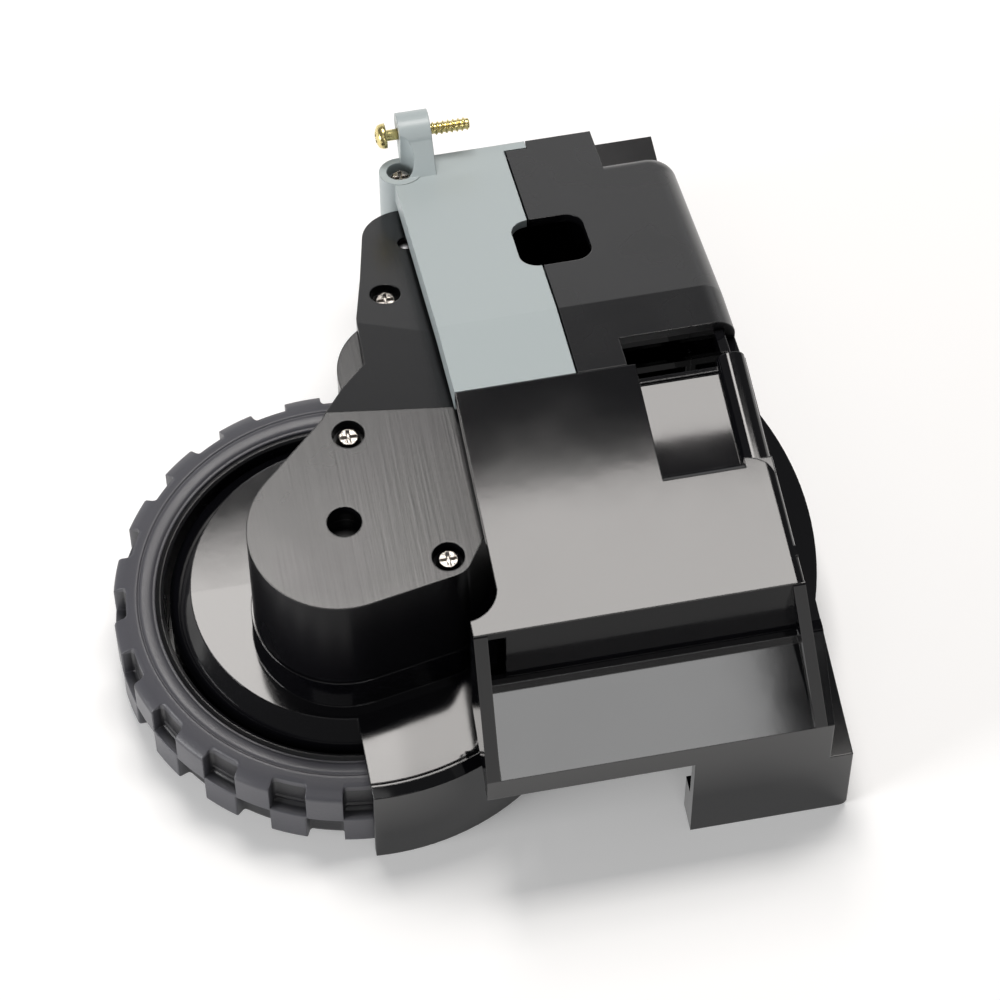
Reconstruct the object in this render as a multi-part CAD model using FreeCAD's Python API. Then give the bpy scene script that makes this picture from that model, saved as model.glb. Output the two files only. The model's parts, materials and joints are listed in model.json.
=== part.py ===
import FreeCAD, Part
import math
import os

# Left wheel module of a robot vacuum, millimetres.
# X is up in the robot, Y runs from the wheel end to the hinge end, Z runs from the outer side inwards.
# The wheel axis is X = Y = 0 with the swing arm dropped; Z = 0 is the plane the module lies on.

V = FreeCAD.Vector
Z_AXIS = V(0, 0, 1)

# running and seating clearances
FIT = 0.04           # radial running fit of shafts and pinned gears
SEAM = 0.15          # half gap between neighbouring covers
GAP = 0.6            # free space between moving bodies

# wheel
TYRE_R = 36.0        # over the lugs
TYRE_ROOT_R = 34.0   # floor of the notches
RUBBER_T = 4.5       # rubber under the notches
RIM_R = TYRE_ROOT_R - RUBBER_T           # tyre seat on the hub
TYRE_Z0 = 1.0
TYRE_Z1 = 16.0
LUGS = 20            # per row, two staggered rows
LUG_TURN = 6.7       # degrees, where the first lug stands
LUG_SPLIT_Z = 8.5    # where the two rows meet
LUG_BAND = 0.35      # half width of the plain band between the rows
RIM_WALL = 1.2
DRUM_GAP = 0.9       # between the rim and the drum in it
WEB_Z0 = 1.6
WEB_T = 1.8
HUB_BOSS_R = 6.0
CAP_R = 8.0

# gearbox drum inside the wheel
DRUM_R = RIM_R - RIM_WALL - DRUM_GAP
DRUM_Z0 = 4.5
DISC_R = 24.0
DISC_Z = 18.2        # top of the visible disc
CONE_Z = 14.0        # foot of the sloped band round the disc
WALL = 1.5

# fender over the tyre, part of the gearbox base
FENDER_R0 = TYRE_R + 0.6
FENDER_R1 = FENDER_R0 + 1.2
FENDER_X0 = -2.7
FENDER_END = -28.0   # degrees, hidden end
PLATE_Z0 = TYRE_Z1 + 0.5

# arm, upper and lower layer
PART_Z = 25.0        # parting plane of gearbox base and arm cover
BOSS_Z = 46.5        # flat top over the motor
LOBE_Z = 38.0        # top of the low lobe on the left flank
FLAT_END = (10.8, 10.85, BOSS_Z)         # middle of the line where the flat top ends
FIRST_SLOPE = (-0.045, -0.327)           # rise along X and along Y beyond it
CREASE = (12.8, 29.8, 40.2)              # middle of the crease
SECOND_SLOPE = (-0.068, -0.382)          # the same beyond the crease
SWING_MAX = 25.0     # degrees from dropped to raised
SKIN = 1.6
LIP = 0.35           # the lower layer stands out this much round the parting line

# gear train: tooth counts, modules, positions
MOTOR_XY = (-0.9, -6.8)
GEAR1_XY = (7.17, 3.39)
GEAR2_XY = (13.05, 15.55)
PRESSURE = math.radians(20.0)
M_FINE = 0.5
M_LAST = 0.7
N_MOTOR = 12
N_GEAR1 = 40
N_PINION1 = 14
N_GEAR2 = 40
N_PINION2 = 12
N_OUT = 46
BACKLASH = 0.06      # taken off each tooth flank, measured along the pitch circle
PIN_R = 1.0

# motor
MOTOR_R = 11.0
MOTOR_Z0 = 27.0
MOTOR_Z1 = 44.7
MOTOR_CAP_Z = 40.2   # the can ends and its plastic cap begins
CAP_RECESS_R = 3.4
MOTOR_SHAFT_R = 1.0
PLATE_T = 0.8        # sheet of the motor plate
EAR_R = 2.5          # round end of its ears

# pivot of the swing arm
PIVOT_XY = (18.3, 50.3)
HUB_XY = (18.9, 51.6)
HUB_R = 7.4
PIVOT_R = 2.5
BUSH_R = 3.6

# main frame and covers, profile of the top seen along X
ROOF = [(-31.9, 51.2), (7.9, 53.2), (22.5, 49.1), (66.5, 31.5)]
LIP_Y = ROOF[0][0]
COVER_Y0 = ROOF[1][0]
FAR_Y = ROOF[3][0]
ROOF_T = 1.8
X_COVER = 18.2       # left edge of roof and covers
X_SEAM = 36.5        # joint of grey and black cover
X_RIGHT = 61.8       # outer face of the right wall at the top
X_FOOT = 65.4        # the same wall where it meets the flange
FRONT_Y = -42.3
FRONT_Z = 26.0       # top edge of the front wall
PANEL_Z = 36.5       # the sloped panel of the pocket starts here under the lip
POCKET_X = 13.5      # left side of the pocket
POCKET_WALL = 2.0
WALL_T = 1.8
FLANGE_X = 69.4
FLANGE_Z = 16.0
ARCH_XY = (21.5, 0.4)
ARCH_R = 50.4
LEG_X0 = 44.7
WINDOW_Z = 20.8
RECESS_X = (45.2, 57.4)
RECESS_Y = (-10.4, 5.6)
RECESS_D = 3.0
SLOT_Y = 14.0        # the black cover is cut back to here beside the recess
SKIRT = 4.6          # depth of the cover sides
LEG_R = 1.3          # lower corner of the front leg
CORNER_R = 4.5       # upright corner beside the connector
ROOF_EDGE_R = 1.4    # rounding of the frame's roof edge
RIM_DROP = 0.8       # the rim beside the recess lies this much lower
RIM_ROUND = 1.9
RECESS_ROLL = 2.3    # rolled edge of the roof before the recess
BITE_XY = (POCKET_X - 0.5, LIP_Y + 7.8)  # round bite for the arm's screw lug
BITE_R = 5.3
CAVITY = 4.5         # depth of the hollow behind the lip
SHOULDER_R = 3.5     # rounding between roof and right side
TONGUE = (40.0, 1.8) # end in X and width of the grey tongue along the far edge
DECK_Z = 18.0
BAY_X = 31.0         # wall of the connector bay
BAY_Y = 33.0
POST_XY = (19.6, 63.2)
POST_R = 3.4
TAB_X = (20.0, 25.0)
TAB_YZ = (67.6, 37.0)
TAB_R = 3.3
HOLE = (33.4, 44.6, 33.6, 45.6)   # x0, x1, y0, y1 of the opening through both covers

# Output shaft and height of each gear
SHAFT_R = 3.0
SHAFT_Z0 = 2.2
SHAFT_Z1 = 15.0
OUT_Z0 = 6.8
OUT_Z1 = 10.8
G1_Z = (22.3, 24.6)
P1_Z = (18.9, 22.3)
G2_Z = (19.2, 21.8)
P2_Z = (6.4, 11.4)
BUSHING_R = 4.4

# Gearbox base
BASE_FLOOR_Z = PLATE_Z0 + 0.2
HINGE_HUB_Z = 9.0
DRUM_POST_R = 21.3   # circle of the three screw posts in the drum
DRUM_POST_TURNS = (140, 240, 340)
DRUM_POSTS = [(DRUM_POST_R * math.cos(math.radians(a)), DRUM_POST_R * math.sin(math.radians(a)))
              for a in DRUM_POST_TURNS]

# Outline circles of the arm: x, y, radius
BOSS = (-1.9, -7.8, 13.5)
LUG_A = (2.2, 8.4, 4.4)
LUG_B = (12.9, -15.3, 3.5)
FLANK = [(6.5, 14.5, 4.6), (11.6, 20.5, 4.6), (12.0, 32.0, 4.6), (14.5, 41.0, 5.1)]
HINGE = (HUB_XY[0], HUB_XY[1], HUB_R)
RIGHT = [(17.0, 30.0, 3.2), (17.4, 10.0, 3.6), (17.6, -8.0, 3.8)]
LOBE = (12.6, 23.5, 9.6)
GEAR1_LOBE = (GEAR1_XY[0], GEAR1_XY[1], 12.4)
GEAR2_LOBE = (GEAR2_XY[0], GEAR2_XY[1], 12.4)

# Screws of the arm: x, y, seat height
ARM_SCREWS = [(2.2, 8.0, 44.3), (12.9, -15.4, 44.3), (12.8, 38.0, 34.0)]
HEAD_R = 1.9
HEAD_H = 1.5
SCREW_R = 1.1

# Swing spring, its peg and hook, and the cam of the switch lever
PEG_R = 1.3
SPRING_R = 6.9       # mean radius of the coil
WIRE = 1.2           # side of the square spring wire
SPRING_Z0 = 2.4
SPRING_PITCH = 1.55
SPRING_TURNS = 3
PEG_XY = (PIVOT_XY[0] + SPRING_R - WIRE / 2 - PEG_R - 0.02, PIVOT_XY[1] - 10.2)
HOOK_XY = (PEG_XY[0], PIVOT_XY[1] + 8.6)
CAM_R = 1.2
CAM_XY = (PIVOT_XY[0] + 11.0, PIVOT_XY[1])
FLOOR_BOSS_Z = 8.5

# Drop switch and its lever
LEVER_XY = (40.0, 54.5)      # hinge of the switch lever
LEVER_LEN = 12.4
LEVER_REST = 194.0           # degrees, direction of the lever at rest
LEVER_Z = (5.4, 8.4)
SWITCH_Y0 = 57.5

# Connector housing and small fasteners
CONN = (51.0, 60.4, 57.6, 65.6)   # x0, x1, y0, y1
CONN_Z1 = 28.8
CONN_WALL = 1.1
COVER_DROP = 1.9     # top of the ledge that the covers lie on, below the roof line
CAPTIVE_R = 1.1      # threaded end
NECK_R = 0.88        # plain neck that runs in the tab
THREAD_X = TAB_X[1] + 0.4
THREAD_END_X = 31.4

# The files are written with the origin under the middle of the module's box
ORIGIN = (17.95, 14.3)


def cyl(xy, r, z0, z1):
    return Part.makeCylinder(r, z1 - z0, V(xy[0], xy[1], z0), Z_AXIS)


def tube(xy, r0, r1, z0, z1):
    return cyl(xy, r1, z0, z1).cut(cyl(xy, r0, z0 - 1, z1 + 1))


def cone(xy, r0, r1, z0, z1):
    return Part.makeCone(r0, r1, z1 - z0, V(xy[0], xy[1], z0), Z_AXIS)


def block(x0, x1, y0, y1, z0, z1):
    return Part.makeBox(x1 - x0, y1 - y0, z1 - z0, V(x0, y0, z0))


def prism(points, z0, z1):
    face = Part.Face(Part.makePolygon([V(x, y, z0) for x, y in points + points[:1]]))
    return face.extrude(V(0, 0, z1 - z0))


def prism_x(points, x0, x1):
    """Extrude a profile of (y, z) points along X."""
    face = Part.Face(Part.makePolygon([V(x0, y, z) for y, z in points + points[:1]]))
    return face.extrude(V(x1 - x0, 0, 0))


def revolve(points):
    """Turn a profile of (radius, z) points round the wheel axis."""
    face = Part.Face(Part.makePolygon([V(r, 0, z) for r, z in points + points[:1]]))
    return face.revolve(V(0, 0, 0), Z_AXIS, 360)


def union(first, *others):
    shape = first
    for other in others:
        shape = shape.fuse(other)
    return shape.removeSplitter()


def sector(r0, r1, a0, a1, z0, z1):
    """Ring sector round the wheel axis, angles in degrees."""
    outer = Part.makeCylinder(r1, z1 - z0, V(0, 0, z0), Z_AXIS, a1 - a0)
    outer.rotate(V(0, 0, 0), Z_AXIS, a0)
    return outer.cut(cyl((0, 0), r0, z0 - 1, z1 + 1)) if r0 > 0 else outer


def belt(a, b, z0, z1):
    """Prism whose outline is the taut belt round two circles (x, y, r)."""
    (xa, ya, ra), (xb, yb, rb) = a, b
    dx, dy = xb - xa, yb - ya
    dist = math.hypot(dx, dy)
    ux, uy = dx / dist, dy / dist
    s = (ra - rb) / dist
    c = math.sqrt(1 - s * s)
    left = (s * ux - c * uy, s * uy + c * ux)
    right = (s * ux + c * uy, s * uy - c * ux)
    quad = [(xa + ra * left[0], ya + ra * left[1]), (xb + rb * left[0], yb + rb * left[1]),
            (xb + rb * right[0], yb + rb * right[1]), (xa + ra * right[0], ya + ra * right[1])]
    return [prism(quad, z0, z1), cyl((xa, ya), ra, z0, z1), cyl((xb, yb), rb, z0, z1)]


def chain(circles, z0, z1, grow=0.0):
    """Union of belts along a row of circles, each circle grown by the same amount."""
    pieces = []
    grown = [(x, y, r + grow) for x, y, r in circles]
    for a, b in zip(grown, grown[1:]):
        pieces += belt(a, b, z0, z1)
    return pieces


# circles that the arm outline is wrapped round: boss, screw lugs, left flank, hinge end, right flank


def arm_outline(z0, z1, grow=0.0):
    ring = [BOSS, LUG_A] + FLANK + [HINGE] + RIGHT + [LUG_B, BOSS]
    core = prism([(c[0], c[1]) for c in ring[:-1]], z0, z1)
    return union(core, *chain(ring, z0, z1, grow))


def lower_outline(z0, z1, grow=0.0):
    lobes = [cyl(c[:2], c[2] + grow, z0, z1) for c in (LOBE, GEAR1_LOBE, GEAR2_LOBE)]
    return union(arm_outline(z0, z1, grow), *lobes)


def below_plane(point, slope, drop):
    """Everything below a tilted plane through the point, lowered by drop."""
    space = block(-90, 90, -90, 90, -120, 0)
    normal = V(-slope[0], -slope[1], 1)
    space.Placement = FreeCAD.Placement(V(point[0], point[1], point[2] - drop), FreeCAD.Rotation(Z_AXIS, normal))
    return space


def arm_top(drop=0.0):
    """Space below the arm's flat top and its two slopes, lowered by a skin."""
    space = block(-60, 90, -60, 90, 0, BOSS_Z - drop)
    for point, slope in ((FLAT_END, FIRST_SLOPE), (CREASE, SECOND_SLOPE)):
        space = space.common(below_plane(point, slope, drop))
    return space



def involute_gear(teeth, module, z0, z1, bore, xy, turn=0.0):
    """Spur gear whose flanks are arcs through three points of the involute."""
    rp = teeth * module / 2
    rb = rp * math.cos(PRESSURE)
    ra = rp + module
    rf = rp - 1.25 * module
    half = math.pi / (2 * teeth) - BACKLASH / rp + math.tan(PRESSURE) - PRESSURE

    def flank(r, side, mid):
        r_on = max(r, rb)
        alpha = math.acos(rb / r_on)
        ang = mid + side * (half - (math.tan(alpha) - alpha))
        return V(r * math.cos(ang), r * math.sin(ang), z0)

    edges = []
    start = max(rb, rf) + 0.02
    points = []
    for k in range(teeth):
        mid = turn + 2 * math.pi * k / teeth
        low_a, mid_a, top_a = (flank(r, -1, mid) for r in (start, (start + ra) / 2, ra))
        top_b, mid_b, low_b = (flank(r, 1, mid) for r in (ra, (start + ra) / 2, start))
        root_a = V(rf * low_a.x / low_a.Length * 1.0, rf * low_a.y / low_a.Length, z0)
        points.append((low_a, mid_a, top_a, top_b, mid_b, low_b))
    for k in range(teeth):
        low_a, mid_a, top_a, top_b, mid_b, low_b = points[k]
        nxt = points[(k + 1) % teeth][0]
        s = rf / math.hypot(low_b.x, low_b.y)
        t = rf / math.hypot(nxt.x, nxt.y)
        foot_b = V(low_b.x * s, low_b.y * s, z0)
        foot_n = V(nxt.x * t, nxt.y * t, z0)
        edges += [Part.LineSegment(low_a, mid_a).toShape(), Part.LineSegment(mid_a, top_a).toShape(),
                  Part.LineSegment(top_a, top_b).toShape(), Part.LineSegment(top_b, mid_b).toShape(),
                  Part.LineSegment(mid_b, low_b).toShape(), Part.LineSegment(low_b, foot_b).toShape(),
                  Part.LineSegment(foot_b, foot_n).toShape(), Part.LineSegment(foot_n, nxt).toShape()]
    gear = Part.Face(Part.Wire(edges)).extrude(V(0, 0, z1 - z0))
    if bore > 0:
        gear = gear.cut(cyl((0, 0), bore, z0 - 1, z1 + 1))
    gear.translate(V(xy[0], xy[1], 0))
    return gear


def mesh_turn(driver_xy, driven_xy, driver_teeth, driver_turn, driven_teeth):
    """Angle of the driven gear that puts a gap where the driver has its tooth."""
    line = math.atan2(driven_xy[1] - driver_xy[1], driven_xy[0] - driver_xy[0])
    phase = (line - driver_turn) * driver_teeth / (2 * math.pi)
    back = line + math.pi
    return back + (phase + 0.5) * 2 * math.pi / driven_teeth


# tooth phases through the train
TURN_OUT = 0.0
TURN_G2 = mesh_turn((0, 0), GEAR2_XY, N_OUT, TURN_OUT, N_PINION2)
TURN_G1 = mesh_turn(GEAR2_XY, GEAR1_XY, N_GEAR2, TURN_G2, N_PINION1)
TURN_M = mesh_turn(GEAR1_XY, MOTOR_XY, N_GEAR1, TURN_G1, N_MOTOR)


def make_tyre():
    body = revolve([(RIM_R, TYRE_Z0), (33.0, TYRE_Z0), (TYRE_R, TYRE_Z0 + 1.2), (TYRE_R, TYRE_Z1 - 1.6),
                    (34.6, TYRE_Z1 - 0.7), (32.2, TYRE_Z1), (31.9, TYRE_Z1 - 0.35), (30.0, TYRE_Z1 - 0.35),
                    (RIM_R, TYRE_Z1 - 0.8)])
    step = 360.0 / LUGS
    cuts = []
    for k in range(LUGS):
        a = k * step + LUG_TURN
        cuts.append(sector(TYRE_ROOT_R, TYRE_R + 1, a, a + step / 2, LUG_SPLIT_Z + LUG_BAND, TYRE_Z1 + 1))
        cuts.append(sector(TYRE_ROOT_R, TYRE_R + 1, a + step / 2, a + step, TYRE_Z0 - 1,
                           LUG_SPLIT_Z - LUG_BAND))
    return body.cut(Part.makeCompound(cuts))


def make_wheel_hub():
    """Dished plastic hub: rim ring, web with spokes pressed in, boss for the shaft."""
    top = TYRE_Z1 - 0.8
    z1 = WEB_Z0 + WEB_T
    hub = revolve([(SHAFT_R, 2.2), (HUB_BOSS_R, 2.2), (HUB_BOSS_R, WEB_Z0), (RIM_R, WEB_Z0), (RIM_R, top),
                   (RIM_R - RIM_WALL + 0.5, top + 0.3), (RIM_R - RIM_WALL, top), (RIM_R - RIM_WALL, z1),
                   (HUB_BOSS_R, z1), (HUB_BOSS_R - 1, z1 + 0.6), (SHAFT_R, z1 + 0.6)])
    ribs = []
    for k in range(6):
        rib = block(CAP_R + 2.5, RIM_R - 2.5, -0.6, 0.6, WEB_Z0 - 0.8, WEB_Z0 + 0.1)
        rib.rotate(V(0, 0, 0), Z_AXIS, 60 * k)
        ribs.append(rib)
    return union(hub, *ribs)


def make_output_shaft():
    shaft = cyl((0, 0), SHAFT_R, SHAFT_Z0, SHAFT_Z1).cut(cyl((0, 0), SCREW_R, SHAFT_Z0 - 1, SHAFT_Z0 + 6))
    return shaft.makeChamfer(0.3, [shaft.Edges[i] for i in end_circles(shaft, SHAFT_Z1)])


def end_circles(shape, z):
    hits = []
    for i, edge in enumerate(shape.Edges):
        box = edge.BoundBox
        if abs(box.ZMin - z) < 1e-6 and abs(box.ZMax - z) < 1e-6:
            hits.append(i)
    return hits


def pan_screw(xy, seat_z, length, head_r, head_h, shank_r, up=True):
    """Pan head screw with a cross recess; the head points along +Z when up is true."""
    head = Part.makeCone(head_r, head_r * 0.72, head_h, V(0, 0, 0), Z_AXIS)
    cross = [block(-head_r * 0.62, head_r * 0.62, -0.22, 0.22, head_h - 0.6, head_h + 1),
             block(-0.22, 0.22, -head_r * 0.62, head_r * 0.62, head_h - 0.6, head_h + 1)]
    head = head.cut(Part.makeCompound(cross))
    screw = head.fuse(cyl((0, 0), shank_r, -length, 0.2)).removeSplitter()
    if not up:
        screw.rotate(V(0, 0, 0), V(1, 0, 0), 180)
    screw.translate(V(xy[0], xy[1], seat_z))
    return screw


def make_wheel_screw():
    return pan_screw((0, 0), SHAFT_Z0, 5.0, 2.8, 1.0, SCREW_R, up=False)


def make_hub_cap():
    """Shallow cap pressed into the hub from the outer side."""
    cap = revolve([(0, 0.5), (CAP_R - 0.8, 0.5), (CAP_R, 0.9), (CAP_R, WEB_Z0), (CAP_R - 1.2, WEB_Z0),
                   (CAP_R - 1.2, 1.1), (0, 1.1)])
    return cap


def make_output_gear():
    hub = tube((0, 0), SHAFT_R, 5.4, OUT_Z1 - 0.01, OUT_Z1 + 1.6)
    gear = involute_gear(N_OUT, M_LAST, OUT_Z0, OUT_Z1, SHAFT_R, (0, 0), TURN_OUT)
    relief = tube((0, 0), 6.6, 14.0, OUT_Z1 - 1.0, OUT_Z1 + 1)
    return union(gear, hub).cut(relief)


def make_gear_one():
    big = involute_gear(N_GEAR1, M_FINE, G1_Z[0], G1_Z[1], 0, GEAR1_XY, TURN_G1)
    small = involute_gear(N_PINION1, M_FINE, P1_Z[0], P1_Z[1] + 0.01, 0, GEAR1_XY, TURN_G1)
    return union(big, small).cut(cyl(GEAR1_XY, PIN_R + FIT, 0, 60))


def make_gear_two():
    big = involute_gear(N_GEAR2, M_FINE, G2_Z[0], G2_Z[1], 0, GEAR2_XY, TURN_G2)
    sleeve = cyl(GEAR2_XY, 3.3, P2_Z[1] - 0.01, G2_Z[0] + 0.01)
    small = involute_gear(N_PINION2, M_LAST, P2_Z[0], P2_Z[1], 0, GEAR2_XY, TURN_G2)
    return union(big, sleeve, small).cut(cyl(GEAR2_XY, PIN_R + FIT, 0, 60))


def make_motor_pinion():
    return involute_gear(N_MOTOR, M_FINE, 21.9, 25.2, MOTOR_SHAFT_R, MOTOR_XY, TURN_M)


def make_motor_shaft():
    return cyl(MOTOR_XY, MOTOR_SHAFT_R, 21.5, MOTOR_CAP_Z + 0.6)


def make_motor_can():
    """Round motor can with two flats, front bearing boss and a bore for its shaft."""
    can = cyl(MOTOR_XY, MOTOR_R, MOTOR_Z0, MOTOR_CAP_Z)
    flats = [block(MOTOR_XY[0] - 15, MOTOR_XY[0] + 15, MOTOR_XY[1] + s * 9.4, MOTOR_XY[1] + s * 9.4 + 4 * s,
                   MOTOR_Z0 - 1, MOTOR_Z1 + 1) if s > 0 else
             block(MOTOR_XY[0] - 15, MOTOR_XY[0] + 15, MOTOR_XY[1] - 13.4, MOTOR_XY[1] - 9.4,
                   MOTOR_Z0 - 1, MOTOR_Z1 + 1) for s in (1, -1)]
    can = can.cut(Part.makeCompound(flats))
    boss = cyl(MOTOR_XY, 3.0, MOTOR_Z0 - PLATE_T, MOTOR_Z0 + 0.1)
    return union(can, boss).cut(cyl(MOTOR_XY, MOTOR_SHAFT_R + FIT, 0, MOTOR_Z1))


def make_motor_cap():
    """Plastic end cap of the motor, with the rear bearing and a recess under the arm's hole."""
    cap = cyl(MOTOR_XY, MOTOR_R - 0.4, MOTOR_CAP_Z, MOTOR_Z1)
    recess = cyl(MOTOR_XY, CAP_RECESS_R, MOTOR_CAP_Z + 1.4, MOTOR_Z1 + 1)
    return cap.cut(recess).cut(cyl(MOTOR_XY, MOTOR_SHAFT_R + FIT, 0, MOTOR_CAP_Z + 0.7))


def make_motor_plate():
    """Steel plate that closes the motor pocket and carries the motor."""
    disc = cyl(MOTOR_XY, MOTOR_R, MOTOR_Z0 - PLATE_T, MOTOR_Z0)
    plate = union(disc, plate_ears(0.0, MOTOR_Z0 - PLATE_T))
    holes = [cyl(MOTOR_XY, 3.0 + FIT, 20, 30)]
    holes += [cyl((x, y), SCREW_R + FIT, 20, 30) for x, y, _ in ARM_SCREWS[:2]]
    return plate.cut(Part.makeCompound(holes))


def make_bottom_plate():
    """Plate that closes the drum from the outer side."""
    plate = cyl((0, 0), DRUM_R - WALL - 0.05, DRUM_Z0, DRUM_Z0 + WALL)
    boss = cyl(GEAR2_XY, 2.4, DRUM_Z0, DRUM_Z0 + WALL + 0.2)
    seat = cyl((0, 0), BUSHING_R, 0, 20)
    holes = [cyl(xy, 1.2, 0, 20) for xy in DRUM_POSTS]
    heads = [cone(xy, 2.1, 1.2, DRUM_Z0, DRUM_Z0 + 0.9) for xy in DRUM_POSTS]
    pin = cyl(GEAR2_XY, PIN_R, DRUM_Z0 + 0.4, 20)
    return union(plate, boss).cut(Part.makeCompound([seat, pin] + holes + heads))


def make_plate_screws():
    screws = []
    for xy in DRUM_POSTS:
        head = cone(xy, 2.1, 1.2, DRUM_Z0, DRUM_Z0 + 0.9)
        shank = cyl(xy, 0.9, DRUM_Z0 + 0.8, DRUM_Z0 + 6.5)
        cross = [block(xy[0] - 1.2, xy[0] + 1.2, xy[1] - 0.2, xy[1] + 0.2, DRUM_Z0 - 1, DRUM_Z0 + 0.5),
                 block(xy[0] - 0.2, xy[0] + 0.2, xy[1] - 1.2, xy[1] + 1.2, DRUM_Z0 - 1, DRUM_Z0 + 0.5)]
        screws.append(union(head, shank).cut(Part.makeCompound(cross)))
    return Part.makeCompound(screws)


def make_output_bushing():
    flange = tube((0, 0), SHAFT_R + FIT, BUSHING_R, DRUM_Z0, OUT_Z0 - 0.1)
    return flange


def fender():
    """Plate over the tyre and the curved wall in front of it."""
    keep = block(FENDER_X0, 60, -60, 0, -1, 30)
    plate = sector(DISC_R - 6.0, FENDER_R1, -100, FENDER_END, PLATE_Z0, DISC_Z)
    groove = sector(FENDER_R0 - 1.4, FENDER_R0 - 0.9, -100, FENDER_END, DISC_Z - 0.3, DISC_Z + 1)
    wall = sector(FENDER_R0, FENDER_R1, -100, FENDER_END, 0, DISC_Z)
    return union(plate, wall).cut(groove).common(keep)


def make_gearbox_base():
    drum = revolve([(0, DRUM_Z0), (DRUM_R, DRUM_Z0), (DRUM_R, CONE_Z), (DISC_R, DISC_Z), (0, DISC_Z)])
    lower = lower_outline(BASE_FLOOR_Z, PART_Z, LIP)
    hub = cyl(PIVOT_XY, 6.4, HINGE_HUB_Z, PART_Z)
    body = union(drum, lower, hub, fender())
    hollow = revolve([(0, 0), (DRUM_R - WALL, 0), (DRUM_R - WALL, CONE_Z - 0.6), (DISC_R - 1.1, DISC_Z - WALL),
                      (0, DISC_Z - WALL)])
    cavity = lower_outline(DISC_Z, PART_Z + 1, LIP - SKIN - 0.1)
    body = body.cut(hollow).cut(cavity)
    adds = [cyl(GEAR2_XY, 6.8, CONE_Z - 1.0, DISC_Z), cyl((0, 0), 5.2, OUT_Z1 + 1.9, DISC_Z - 0.1),
            cyl(GEAR1_XY, 2.3, 15.0, P1_Z[0] - 0.15), cyl(PIVOT_XY, 6.4, HINGE_HUB_Z, PART_Z),
            cyl(ARM_SCREWS[1][:2], 3.2, DISC_Z - 0.5, PART_Z), cyl(ARM_SCREWS[2][:2], 3.2, DISC_Z - 0.5, PART_Z),
            cyl(ARM_SCREWS[1][:2], EAR_R, PART_Z - 0.5, MOTOR_Z0 - PLATE_T),
            spring_peg(), switch_cam(), cyl(PEG_XY, 2.6, BASE_FLOOR_Z, PART_Z)]
    adds += [cyl(xy, 2.4, DRUM_Z0 + WALL, DISC_Z - 1.0) for xy in DRUM_POSTS]
    body = union(body, *adds)
    cuts = [cyl(GEAR2_XY, 5.3, 8.0, DISC_Z + 0.5), cyl((0, 0), SHAFT_R + FIT, 5, SHAFT_Z1 + 0.2),
            cyl(GEAR1_XY, PIN_R, 15.6, 30), cyl(PIVOT_XY, BUSH_R, 0, 40)]
    cuts += [cyl(xy, 0.9, 0, DRUM_Z0 + 7) for xy in DRUM_POSTS]
    cuts += [cyl((x, y), SCREW_R, 17.4, 40) for x, y, z in ARM_SCREWS[1:]]
    return body.cut(Part.makeCompound(cuts))


def spring_peg():
    """Peg under the arm that the spring leg bears on."""
    return cyl(PEG_XY, PEG_R, 3.6, PART_Z - 4)


def switch_cam():
    """Bracket and peg that push the switch lever when the wheel is raised."""
    arm = union(*belt((PIVOT_XY[0], PIVOT_XY[1], 3.0), (CAM_XY[0], CAM_XY[1], 1.7), HINGE_HUB_Z, 12.0))
    return arm.fuse(cyl(CAM_XY, CAM_R, 5.2, 12.0)).cut(cyl(PIVOT_XY, PIVOT_R, 0, 40))


def make_gear_pins():
    pin1 = cyl(GEAR1_XY, PIN_R, 15.6, 28.0)
    pin2 = cyl(GEAR2_XY, PIN_R, DRUM_Z0 + 0.4, 28.0)
    return Part.makeCompound([pin1, pin2])


def make_arm_cover():
    """Upper shell of the arm: motor boss, sloped top, screw lugs and hinge end."""
    outer = arm_outline(PART_Z, 60).common(arm_top())
    lobe = cyl(LOBE[:2], LOBE[2], PART_Z, LOBE_Z).common(arm_top())
    low = [cyl(c[:2], c[2] + LIP, PART_Z, PART_Z + SKIN) for c in (GEAR1_LOBE, GEAR2_LOBE)]
    shell = union(outer, lobe, *low)
    inside = arm_outline(PART_Z - 1, 60, -SKIN).common(arm_top(SKIN))
    lobe_in = cyl(LOBE[:2], LOBE[2] - SKIN, PART_Z - 1, LOBE_Z - SKIN).common(arm_top(SKIN))
    shell = shell.cut(inside).cut(lobe_in)
    space = arm_top(SKIN - 0.2)
    posts = [cyl(MOTOR_XY, MOTOR_R + 1.6, PART_Z, BOSS_Z - 1).common(arm_outline(PART_Z, 60, -SKIN / 2)),
             cyl(GEAR1_XY, 2.2, PART_Z, 60), cyl(GEAR2_XY, 2.6, PART_Z, 60),
             cyl(PIVOT_XY, 5.6, PART_Z, 60)]
    posts += [cyl((x, y), 3.2, MOTOR_Z0 if z > 40 else PART_Z, 60) for x, y, z in ARM_SCREWS]
    shell = union(shell, *[post.common(space) for post in posts])
    cuts = [cyl(MOTOR_XY, MOTOR_R + 0.1, 20, MOTOR_Z1), cyl(MOTOR_XY, 2.55, 40, 60),
            cyl(GEAR1_XY, PIN_R, 20, 28.0), cyl(GEAR2_XY, PIN_R, 20, 28.0),
            cyl(PIVOT_XY, BUSH_R, 20, 30.4), cyl(PIVOT_XY, 1.5, 20, 60), plate_ears(0.3, 20.0)]
    for x, y, z in ARM_SCREWS:
        cuts += [cyl((x, y), SCREW_R + 0.15, 20, 60), cyl((x, y), HEAD_R + 0.5, z, 60)]
    return shell.cut(Part.makeCompound(cuts))


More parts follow.
